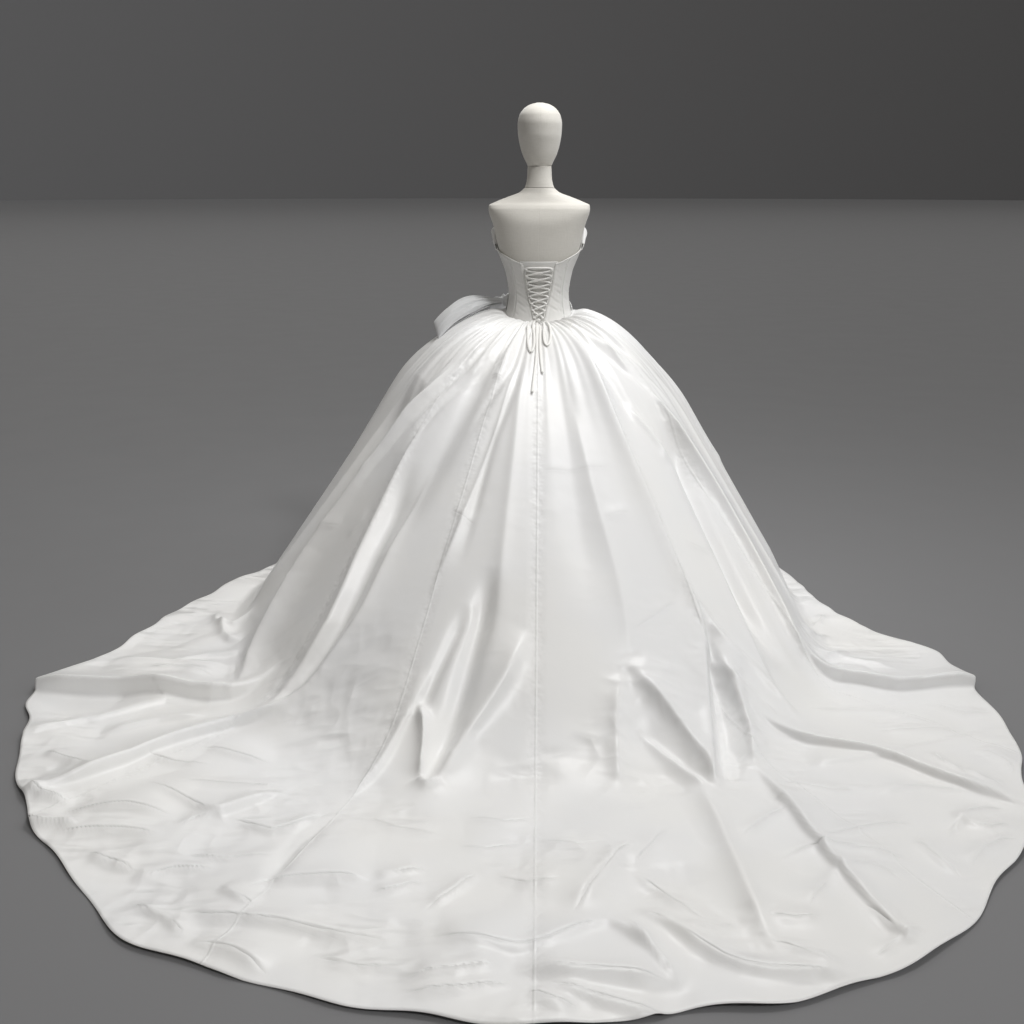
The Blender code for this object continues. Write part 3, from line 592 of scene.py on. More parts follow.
# %% Binding and the panel behind the lacing
def tube(name, points, width, material, node, smooth=True):
    """A round cord along a route."""
    curve = bpy.data.curves.new(name, "CURVE")
    curve.dimensions = "3D"
    curve.bevel_depth = width / 2
    curve.bevel_resolution = 3
    curve.use_fill_caps = True
    curve.resolution_u = 4
    spline = curve.splines.new("NURBS" if smooth else "POLY")
    spline.points.add(len(points) - 1)
    for knot, place in zip(spline.points, points):
        knot.co = (*[float(v) for v in place], 1.0)
    if smooth:
        spline.use_endpoint_u = True
        spline.order_u = 3
    return new_object(name, curve, material, node)


BINDING_WIDTH, BINDING_LIFT = 0.0042, 0.0025
MODESTY_OUT, MODESTY_IN = 0.0020, 0.0010    # its two faces, off the form
for name, side in (("left", 1), ("right", -1)):
    degrees = np.linspace(float(gap_degrees(np.array(1.0))) + 1.5, 84, 40)
    top = edge_at(degrees)[:, 0]
    slope = (edge_at(degrees + 1)[:, 0] - top) / METRES_PER_DEGREE
    lean = np.hypot(1, slope)
    aside = BINDING_LIFT * slope / lean / METRES_PER_DEGREE
    route = form_point(top + BINDING_LIFT / lean, side * (degrees - aside),
                       BODICE_CLEAR + SATIN * 0.8)
    tube("satin_binding_" + name, route, BINDING_WIDTH, bodice_satin, "binding_" + name)

share = np.linspace(0, 1, 60)[:, None]
height = LOW_BACK + 0.002 + share * 0.218
reach = 0.026 + 0.037 * np.minimum(share * 1.3, 1.0)
limit = np.degrees(np.arcsin(reach / form_at(height)[..., 0]))
degrees = limit * np.linspace(-1, 1, 44)[None, :]
rucks = 0.0007 * np.sin(height * 410 + degrees * 0.10) * ease(share * 6)
outer = form_point(height, degrees, MODESTY_OUT + np.maximum(rucks, -0.0004) * 0.6)
inner = form_point(height, degrees, MODESTY_IN)
make_cloth("modesty_panel", outer, inner, bodice_satin)
print("binding and modesty panel made")

# %% [markdown]
# ## Draped neckline and sash
#
# The front's top edge is covered by a soft fold of satin that stands off the bodice,
# and a pleated sash runs round the front of the waist to the bow. Each is a wall whose
# section, from top to bottom, is a short table. A few slow waves keep the folds uneven.

# %% The drape
DRAPE = (
    # share down the drape, distance off the bodice
    (0.00, 0.0005), (0.06, 0.0085), (0.16, 0.0135), (0.28, 0.0120), (0.36, 0.0070),
    (0.44, 0.0118), (0.56, 0.0130), (0.66, 0.0075), (0.74, 0.0100), (0.86, 0.0095),
    (1.00, 0.0035),
)
drape_at = curve_through(DRAPE)
share = np.linspace(1, 0, 48)[:, None]
across = np.linspace(0, 1, 150)[None, :]
ends = ease(np.minimum(across, 1 - across) / 0.10)
degrees = 92 + (360 - 184) * across + 0 * share
swing = 0.035 * np.sin(across * 17 + 0.6) + 0.03 * np.sin(across * 9.3 + 2.0)
section = drape_at(np.clip(share + swing * ends * np.sin(share * np.pi), 0, 1))[..., 0]
crimp = 0.0011 * np.sin(across * 61 + share * 7) + 0.0008 * np.sin(across * 97 - share * 5)
edge = edge_at(back_angle(degrees))[..., 0]
top = edge + 0.0035 + 0.0035 * ends
height = top - share * 0.085 * (0.30 + 0.70 * ends)
swell = (section + crimp * np.sin(share * np.pi)) * (0.4 + 0.6 * ends)
lift = BODICE_CLEAR + SATIN + 0.0012 + swell
outer = bodice_point(height, degrees, lift + FOLD_WALL)
# the top lip turns in over the bodice's edge
inner = bodice_point(height, degrees, np.where(height > edge + 0.0008, 0.0015, lift))
make_cloth("neckline_drape", outer, inner, skirt_satin)

# %% The sash
# degrees from the back to the left, width of the band
SASH = ((98, 0.060), (140, 0.056), (180, 0.054), (220, 0.050), (250, 0.038), (268, 0.022))
share = np.linspace(0, 1, 44)[:, None]
degrees = np.linspace(98, 268, 140)[None, :] + 0 * share
band = curve_through(SASH)(degrees)[..., 0]
height = edge_at(back_angle(degrees))[..., 1] + 0.012 + share * band
drift = share + 0.05 * np.sin(degrees * 0.055) * np.sin(share * np.pi)
pleat = 0.0026 * (0.5 - 0.5 * np.cos(drift * 8 * np.pi)) ** 0.6
pleat = pleat * (0.75 + 0.25 * np.sin(degrees * 0.09 + share * 6))
lift = BODICE_CLEAR + SATIN + 0.0028 + pleat
outer = bodice_point(height, degrees, lift + FOLD_WALL)
inner = bodice_point(height, degrees, lift)
make_cloth("front_sash", outer, inner, skirt_satin)
print("drape and sash made")

# %% [markdown]
# ## The bow
#
# Each loop of the bow is a band of satin that goes out, turns and comes back, and is
# gathered small in the knot. Pleats start at the knot and die out towards the tip.

# %% The bow
BOW_KNOT = np.array((0.118, -0.068, 1.115))
BOW_WALL = 0.0018
BOW_NARROW = 0.012    # half the width where a loop leaves the knot
BOW_BELLY = 0.020
BOW_LOOPS = (
    # name, direction out, direction across, length, half width, droop
    ("bow_loop_back", (0.95, 0.24, -0.04), (0.0, -0.87, 0.49), 0.245, 0.052, 0.090),
    ("bow_loop_front", (0.12, -0.98, -0.06), (0.90, 0.10, -0.30), 0.210, 0.052, 0.050),
)


def unit(vectors):
    """One vector, or many along the last axis, brought to a length of one."""
    vectors = np.array(vectors, float)
    return vectors / np.linalg.norm(vectors, axis=-1, keepdims=True)


for name, out, wide, length, half_width, droop in BOW_LOOPS:
    out = unit(out)
    wide = unit(np.array(wide) - out * np.dot(out, wide))
    normal = np.cross(wide, out)
    normal = normal * np.sign(normal[2])
    turn = np.radians(np.linspace(8, 352, 96))[:, None]
    side = np.linspace(-1, 1, 60)[None, :]
    share = (1 - np.cos(turn)) / 2
    width = BOW_NARROW + (half_width - BOW_NARROW) * ease(share * 1.5)
    sine = np.sin(turn)
    belly = BOW_BELLY * np.sign(sine) * np.abs(sine) ** 0.7 * (0.35 + 0.65 * ease(share * 2))
    belly = np.where(belly < 0, belly * 0.5, belly)
    belly = belly * (1 - 0.8 * side ** 4 * ease(share * 2))
    folds = np.cos(side * 3 * np.pi + 0.7) + 0.6 * np.cos(side * 5.2 * np.pi + 1.9)
    pucker = 0.0042 * folds * (1 - 0.60 * share) + 0.0015 * np.sin(side * 4 + share * 9)
    lift = belly + pucker * sine
    points = (BOW_KNOT + out * 0.020 + out * (length * share)[..., None]
              + wide * (width * side)[..., None] + normal * lift[..., None])
    facing = unit(out * (np.maximum(-np.cos(turn), 0) ** 3)[..., None]
                  + normal * sine[..., None])
    outside = points + facing * BOW_WALL
    points[..., 2] -= droop * share ** 3
    outside[..., 2] -= droop * (share + BOW_WALL * facing @ out / length) ** 3
    hem = (1 - np.abs(side)) * half_width + 0 * share
    make_cloth(name, outside, points, bow_satin, hem + 0.004)

out = unit(BOW_LOOPS[0][1])
upward = unit(np.array((0, 0, 1)) - out * out[2])
across = np.cross(out, upward)
share = np.linspace(0, 1, 40)[:, None]
turn = full_turn(96)[None, :]
radius = 0.010 + 0.005 * np.sin(np.pi * share) ** 0.7
radius = radius * (1 + 0.05 * np.cos(turn * 9 + share * 3) + 0.03 * np.cos(turn * 5))
rings = (BOW_KNOT + out * (0.030 * (share - 0.5))[..., None]
         + upward * (radius * 1.35 * np.sin(turn))[..., None]
         - across * (radius * 0.62 * np.cos(turn))[..., None])
new_object("satin_bow_knot", closed_mesh("satin_bow_knot", rings), bow_satin, "bow_knot")
print("bow made")

# %% [markdown]
# ## The lacing
#
# Two strands of satin lace cross seven times between two strips of eight rouleau
# loops. A loop is a short ring of tubing round the lace. Where the strands cross, one
# passes over and the other under, in turn.

# %% Loops and lace
LOOP_RING = 0.0043
LOOP_COUNT, LOOP_TOP, LOOP_PITCH, LOOP_RUN = 8, 1.240, 0.0242, 0.005
ROULEAU_WIDTH, LACE_WIDTH, LACE_RISE = 0.0034, 0.0068, 0.0027
TUBING = 0.001                                                  # its radius in a loop
LACE_OFFSET = MODESTY_OUT + PIECE_GAP + TUBING + LOOP_RING      # off the form
INSET = PIECE_GAP + TUBING + LOOP_RING + 0.0008                 # from the panel's edge
# share of a crossing, share of the rise over or under the other strand
CROSSING = ((0.12, 0.1), (0.25, 0.4), (0.4, 1.0), (0.6, 1.0), (0.75, 0.4), (0.88, 0.1))


def edge_point(side, height, inset, offset):
    """A point in the laced gap: so far from the panel's edge and off the form."""
    share = np.clip((height - LOW_BACK) / (TOP_BACK - LOW_BACK), 0, 1)
    distance = gap_at(share)[..., 0] - inset
    half = form_at(height)[..., 0] + offset
    return form_point(height, side * np.degrees(np.arcsin(distance / half)), offset)


for name, side in (("left", 1), ("right", -1)):
    route = []
    for loop in range(LOOP_COUNT):
        middle = LOOP_TOP - loop * LOOP_PITCH
        for step in range(13):
            angle = 2 * math.pi * step / 12
            route.append(edge_point(side, np.array(middle + LOOP_RUN * (0.5 - step / 12)),
                                    INSET - LOOP_RING * math.cos(angle),
                                    LACE_OFFSET + LOOP_RING * math.sin(angle)))
    tube("rouleau_loops_" + name, route, ROULEAU_WIDTH, ribbon_satin, "loop_strip_" + name)

for name, first in (("left", 1), ("right", -1)):
    start = LOOP_TOP + LOOP_RUN + 0.001
    route = [form_point(start, first * degrees, LACE_OFFSET) for degrees in (0.2, 6, 14)]
    side, run = first, LOOP_RUN * 0.62
    for loop in range(LOOP_COUNT):
        middle = LOOP_TOP - loop * LOOP_PITCH
        leave = edge_point(side, np.array(middle - run), INSET, LACE_OFFSET)
        route += [edge_point(side, np.array(middle + run), INSET, LACE_OFFSET), leave]
        if loop == LOOP_COUNT - 1:
            break
        arrive = edge_point(-side, np.array(middle - LOOP_PITCH + run), INSET, LACE_OFFSET)
        over = first * (1 if loop % 2 else -1)
        for share, lift in CROSSING:
            x, _, z = leave + (arrive - leave) * share
            offset = LACE_OFFSET + over * lift * LACE_RISE
            half = float(form_at(z)[0]) + LACE_OFFSET
            route.append(form_point(z, math.degrees(math.asin(x / half)), offset))
        side = -side
    tube("satin_lace_" + name, route, LACE_WIDTH, ribbon_satin, "lace_" + name)
print("lacing made")

# %% [markdown]
# ## The skirt's plain form
#
# Seen from above, the skirt is a set of azimuths. Along each one the cloth leaves the
# waist almost level, rounds over the petticoat, falls in a straight slope, eases on to
# the floor and runs out to the hem. The table gives where it lands and where it ends.

# %% Plan and profile
SKIRT_PLAN = (
    # degrees from the back to the wearer's left, landing radius, hem radius, bend, ease
    (-180, 0.93, 1.00, 1.40, 0.04), (-140, 0.94, 1.01, 1.40, 0.04),
    (-110, 0.95, 1.04, 1.40, 0.04), (-90, 0.97, 1.05, 1.40, 0.05),
    (-80, 0.99, 1.11, 1.41, 0.05), (-72, 1.02, 1.24, 1.43, 0.06),
    (-66, 1.06, 1.50, 1.45, 0.07), (-59, 1.12, 1.60, 1.47, 0.09),
    (-50, 1.20, 1.80, 1.50, 0.10), (-35, 1.34, 2.09, 1.65, 0.14),
    (-18, 1.44, 2.34, 1.80, 0.16), (0, 1.47, 2.39, 1.90, 0.16),
    (18, 1.44, 2.34, 1.80, 0.16), (35, 1.36, 2.14, 1.65, 0.14),
    (48, 1.24, 1.97, 1.50, 0.12), (60, 1.165, 1.80, 1.45, 0.10),
    (65, 1.145, 1.60, 1.44, 0.09), (72, 1.125, 1.46, 1.42, 0.08),
    (90, 1.08, 1.23, 1.40, 0.05), (110, 1.01, 1.10, 1.40, 0.04),
    (140, 0.95, 1.02, 1.40, 0.04), (180, 0.93, 1.00, 1.40, 0.04),
)
plan_at = curve_through(SKIRT_PLAN)


def half_turn(azimuth):
    """An azimuth brought to between -180 and 180 degrees."""
    return (np.asarray(azimuth, float) + 180) % 360 - 180


def waist(azimuth):
    """Radius and height of the skirt's top edge."""
    angle = np.radians(azimuth)
    high = edge_at(back_angle(azimuth))[..., 1] + 0.002
    half, behind, front, _ = np.moveaxis(form_at(high), -1, 0)
    off = BODICE_CLEAR + SATIN + 0.0008
    depth = np.where(np.cos(angle) > 0, behind, front) + off
    return 1 / np.hypot(np.sin(angle) / (half + off), np.cos(angle) / depth), high


def skirt_base(azimuth, radius):
    """Height of the plain skirt."""
    landing_radius, _, bend, landing = np.moveaxis(plan_at(half_turn(azimuth)), -1, 0)
    start, high = waist(azimuth)
    share = (radius - start) / (landing_radius - start)
    turn = 1 - np.sqrt(1 - 1 / bend)
    drop = np.where(share < turn, bend * share ** 2, bend * turn * (2 * share - turn))
    height = high * (1 - drop)
    soft = (height + landing) ** 2 / (4 * landing)
    return np.where(height >= landing, height, np.where(height <= -landing, 0.0, soft))


# %% [markdown]
# ## Pleats, folds and creases
#
# All three are ridges or troughs along a route, added to the plain form. A pleat
# starts at the waist and keeps to one azimuth. A fold has a route in plan, its own
# width on each side, and may roll over to make a lap that lies on the cloth beside it.
# A crease is a smaller fold with one sharp side. Their sizes are uneven on purpose:
# cloth never repeats itself. Gathers are many small swells that die out near the waist.

# %% Pleats at the waist
PLEATS = (
    # degrees, half width on each side in degrees, height, length
    (4.5, 1.6, 2.4, 0.006, 0.34), (9.5, 2.4, 1.5, 0.011, 0.46), (15.5, 3.0, 2.0, 0.014, 0.72),
    (22, 2.2, 3.2, 0.010, 0.38), (29, 3.4, 2.2, 0.017, 0.88), (37, 2.4, 2.6, 0.010, 0.42),
    (44, 3.6, 2.2, 0.015, 0.60), (52, 2.2, 3.4, 0.012, 0.50), (60, 3.8, 2.4, 0.018, 0.85),
    (69, 2.6, 3.0, 0.011, 0.42), (77, 3.4, 2.4, 0.016, 0.66), (86, 2.6, 3.6, 0.012, 0.48),
    (95, 3.6, 2.6, 0.017, 0.80), (104, 2.4, 3.0, 0.010, 0.40), (112, 3.4, 2.4, 0.016, 0.70),
    (121, 2.6, 3.4, 0.012, 0.46), (130, 3.6, 2.4, 0.017, 0.82), (139, 2.4, 2.8, 0.010, 0.38),
    (147, 3.2, 2.4, 0.015, 0.64), (156, 2.6, 3.2, 0.012, 0.50), (165, 3.4, 2.4, 0.016, 0.84),
    (174, 2.4, 3.0, 0.011, 0.44), (183, 3.2, 2.2, 0.015, 0.68), (191, 2.4, 3.2, 0.011, 0.42),
    (200, 3.6, 2.6, 0.017, 0.86), (209, 2.6, 3.0, 0.012, 0.48), (217, 3.2, 2.2, 0.015, 0.62),
    (226, 2.4, 3.4, 0.012, 0.46), (235, 3.6, 2.4, 0.017, 0.80), (244, 2.6, 2.8, 0.010, 0.40),
    (252, 3.4, 2.4, 0.016, 0.66), (261, 2.4, 3.4, 0.012, 0.46), (270, 3.6, 2.4, 0.017, 0.78),
    (279, 2.6, 3.0, 0.011, 0.44), (287, 3.2, 2.4, 0.015, 0.60), (295, 2.6, 3.2, 0.012, 0.50),
    (303, 3.6, 2.4, 0.018, 0.86), (311, 2.2, 2.8, 0.010, 0.40), (318, 3.2, 2.2, 0.015, 0.62),
    (326, 2.4, 3.2, 0.012, 0.52), (334, 3.4, 1.8, 0.018, 0.95), (341, 2.2, 2.6, 0.010, 0.44),
    (347.5, 2.8, 1.8, 0.013, 0.66), (354, 1.8, 2.0, 0.007, 0.36),
)
GATHERS = (
    # height, how many round, start, length
    (0.0036, 61, 0.4, 0.16), (0.0030, 97, 2.0, 0.20), (0.0022, 143, 4.4, 0.11),
)


def pleat_relief(azimuth, radius):
    """Height of the pleats and gathers."""
    out = radius - waist(azimuth)[0]
    angle = np.radians(azimuth)
    total = 0.0
    for height, count, start, length in GATHERS:
        swell = np.sin(angle * count + start + 2 * np.sin(angle * 7))
        total = total + height * swell * np.exp(-out / length) * ease(out / 0.02)
    for middle, left, right, height, length in PLEATS:
        gap = half_turn(azimuth - middle)
        width = np.where(gap > 0, left, right)
        share = np.clip(out / length, 0, 1)
        fade = (1 - share) ** 2 * (1 + 2 * share) * (0.22 + 0.78 * ease(out / 0.05))
        width = width * (1 + 0.9 * share)
        total = total + height * fade * np.exp(-np.abs(gap / width) ** 1.7)
    return total


# %% The large folds
FOLDS = (
    # in millimetres: height, half width on its left and right, roll, route in plan
    # from the waist out, as distances to the wearer's left and to the back
    # left flank: the main ridge, the shaded panel outside it and the folds inside it
    (50, 90, 50, 6, ((280, 330), (430, 430), (620, 510), (800, 600), (910, 780), (920, 920))),
    (-50, 70, 110, 0, ((400, 270), (600, 350), (820, 430), (980, 500))),
    (22, 28, 50, 4, ((280, 400), (420, 560), (500, 680), (570, 800), (640, 940), (790, 1100))),
    (-26, 34, 28, 0, ((400, 600), (520, 820), (600, 960), (740, 1100))),
    (24, 60, 34, 0, ((340, 640), (450, 840), (520, 970), (620, 1060), (740, 1130),
     (900, 1150))),
    (-30, 50, 50, 0, ((150, 320), (250, 510), (370, 690), (470, 840))),
    (-12, 18, 22, 0, ((120, 130), (250, 230), (400, 300), (580, 300))),
    (-14, 18, 18, 0, ((100, 170), (200, 320), (320, 410), (440, 470), (560, 520))),
    (-13, 18, 18, 0, ((60, 170), (150, 360), (270, 430), (360, 490), (430, 560))),
    (10, 18, 30, 0, ((140, 240), (240, 340), (360, 400), (500, 440))),
    (-11, 15, 15, 0, ((40, 200), (90, 400), (140, 490), (210, 570))),
    (-15, 18, 26, 0, ((40, 270), (80, 480), (140, 620), (180, 750), (230, 930))),
    (12, 30, 18, 0, ((60, 360), (120, 560), (190, 740), (260, 900), (320, 1020))),
    (12, 50, 50, 0, ((50, 340), (70, 620), (100, 920), (120, 1140))),
    (16, 30, 50, 0, ((440, 200), (660, 260), (880, 300), (1060, 300))),
    # right flank
    (28, 20, 75, 6, ((-80, 170), (-130, 300), (-230, 530), (-330, 720), (-410, 880),
     (-500, 1050), (-520, 1180))),
    (46, 70, 34, 0, ((-260, 290), (-390, 380), (-500, 440), (-620, 540), (-720, 650),
     (-810, 780), (-900, 860))),
    (-52, 44, 50, 0, ((-430, 420), (-510, 590), (-580, 710), (-660, 830), (-760, 930))),
    (22, 26, 60, 3, ((-300, 440), (-420, 550), (-500, 650), (-560, 780), (-620, 920),
     (-700, 1060), (-760, 1130))),
    (-12, 20, 18, 0, ((-110, 200), (-200, 280), (-280, 330), (-360, 360), (-450, 400))),
    (-12, 18, 18, 0, ((-120, 140), (-230, 190), (-340, 230), (-470, 280))),
    (-11, 18, 18, 0, ((-100, 210), (-180, 340), (-250, 420), (-310, 520))),
    (10, 22, 22, 0, ((-160, 220), (-260, 280), (-380, 310), (-520, 350))),
    (11, 12, 34, 0, ((-290, 470), (-360, 520), (-430, 570))),
    (-10, 50, 40, 0, ((-50, 360), (-100, 620), (-120, 820), (-160, 1040))),
    (10, 40, 50, 0, ((-100, 500), (-170, 760), (-240, 980), (-270, 1160))),
    (14, 18, 34, 0, ((-420, 910), (-540, 1000), (-660, 1050), (-770, 1120))),
    (13, 18, 34, 0, ((-460, 1050), (-570, 1100), (-710, 1170))),
    (16, 50, 30, 0, ((-360, 160), (-580, 220), (-780, 320), (-940, 500))),
    # where the train breaks on the floor, at the left
    (40, 17, 24, 0, ((340, 1260), (308, 1320), (302, 1400), (305, 1500))),
    (-36, 34, 34, 0, ((130, 980), (235, 1340), (266, 1420), (283, 1500))),
    (36, 40, 70, 0, ((30, 1140), (80, 1240), (160, 1340), (220, 1430), (265, 1520))),
    (22, 18, 26, 0, ((312, 1500), (286, 1535), (255, 1510))),
    (-18, 20, 22, 0, ((200, 1060), (310, 1250), (360, 1300))),
    (20, 16, 50, 4, ((300, 1200), (370, 1310), (420, 1430), (490, 1570))),
    (-12, 22, 22, 0, ((470, 1540), (550, 1710), (590, 1820), (610, 2000))),
    # and at the right
    (42, 80, 34, 0, ((-260, 1190), (-330, 1240), (-400, 1320), (-450, 1410), (-490, 1520))),
    (20, 50, 40, 0, ((-250, 1200), (-225, 1280), (-220, 1380), (-220, 1520))),
    (-18, 60, 60, 0, ((-270, 1310), (-330, 1420), (-390, 1540))),
    (-58, 32, 32, 0, ((-515, 1000), (-540, 1180), (-540, 1340), (-505, 1480))),
    (30, 60, 16, 8, ((-530, 1020), (-580, 1140), (-605, 1240), (-600, 1380))),
    (22, 16, 50, 0, ((-490, 1030), (-488, 1200), (-482, 1360), (-470, 1500))),
    (10, 10, 12, 0, ((-535, 1120), (-545, 1260), (-525, 1420))),
    (14, 12, 40, 0, ((-280, 1340), (-380, 1420), (-450, 1510))),
    (26, 65, 16, 6, ((-600, 1380), (-650, 1560), (-700, 1800), (-740, 1960), (-790, 2120))),
    (26, 50, 50, 0, ((-430, 1460), (-460, 1700), (-475, 1920), (-500, 2180))),
    # laps on the floor at the left
    (66, 24, 150, 34, ((800, 920), (900, 965), (1000, 985), (1200, 960), (1420, 945),
     (1660, 930))),
    (18, 20, 80, 12, ((1020, 1030), (1140, 1030), (1260, 1110), (1370, 1190), (1520, 1300))),
    (40, 20, 90, 22, ((700, 1110), (890, 1170), (1050, 1280), (1190, 1450), (1330, 1600))),
    (16, 18, 60, 6, ((980, 1130), (1120, 1150), (1260, 1240))),
    (14, 26, 60, 0, ((940, 820), (1160, 760), (1440, 740))),
    (24, 30, 50, 0, ((1020, 580), (1100, 500), (1140, 360))),
    (18, 22, 34, 0, ((1020, 360), (1080, 420), (1160, 380), (1180, 280))),
    # laps on the floor at the right
    (52, 130, 22, 28, ((-800, 770), (-920, 795), (-1020, 830), (-1130, 865), (-1300, 860),
     (-1460, 820))),
    (16, 60, 18, 6, ((-920, 660), (-1040, 670), (-1160, 740))),
    (34, 110, 20, 16, ((-620, 1160), (-690, 1200), (-800, 1240), (-900, 1290), (-1000, 1340),
     (-1100, 1440), (-1280, 1580))),
    (12, 80, 16, 0, ((-740, 1380), (-880, 1360), (-970, 1320))),
    (10, 18, 60, 0, ((-1000, 1310), (-1150, 1240), (-1300, 1170))),
    # the hidden sides and front, plain hanging folds
    (30, 60, 70, 0, ((340, -40), (620, -100), (980, -180))),
    (28, 60, 60, 0, ((280, -260), (500, -480), (700, -680))),
    (32, 60, 70, 0, ((80, -360), (140, -620), (220, -940))),
    (28, 60, 60, 0, ((-160, -340), (-280, -580), (-380, -840))),
    (30, 70, 60, 0, ((-320, -220), (-560, -380), (-800, -540))),
    (28, 60, 60, 0, ((-380, 20), (-660, 40), (-980, 80))),
    (-18, 50, 50, 0, ((200, -320), (340, -560), (480, -800))),
    (-18, 50, 50, 0, ((-50, -380), (-80, -660), (-100, -920))),
    (-18, 50, 50, 0, ((-260, -300), (-460, -520), (-600, -700))),
    (-16, 45, 45, 0, ((360, -140), (640, -300), (860, -420))),
    (-16, 45, 45, 0, ((-360, -80), (-620, -140), (-900, -200))),
)

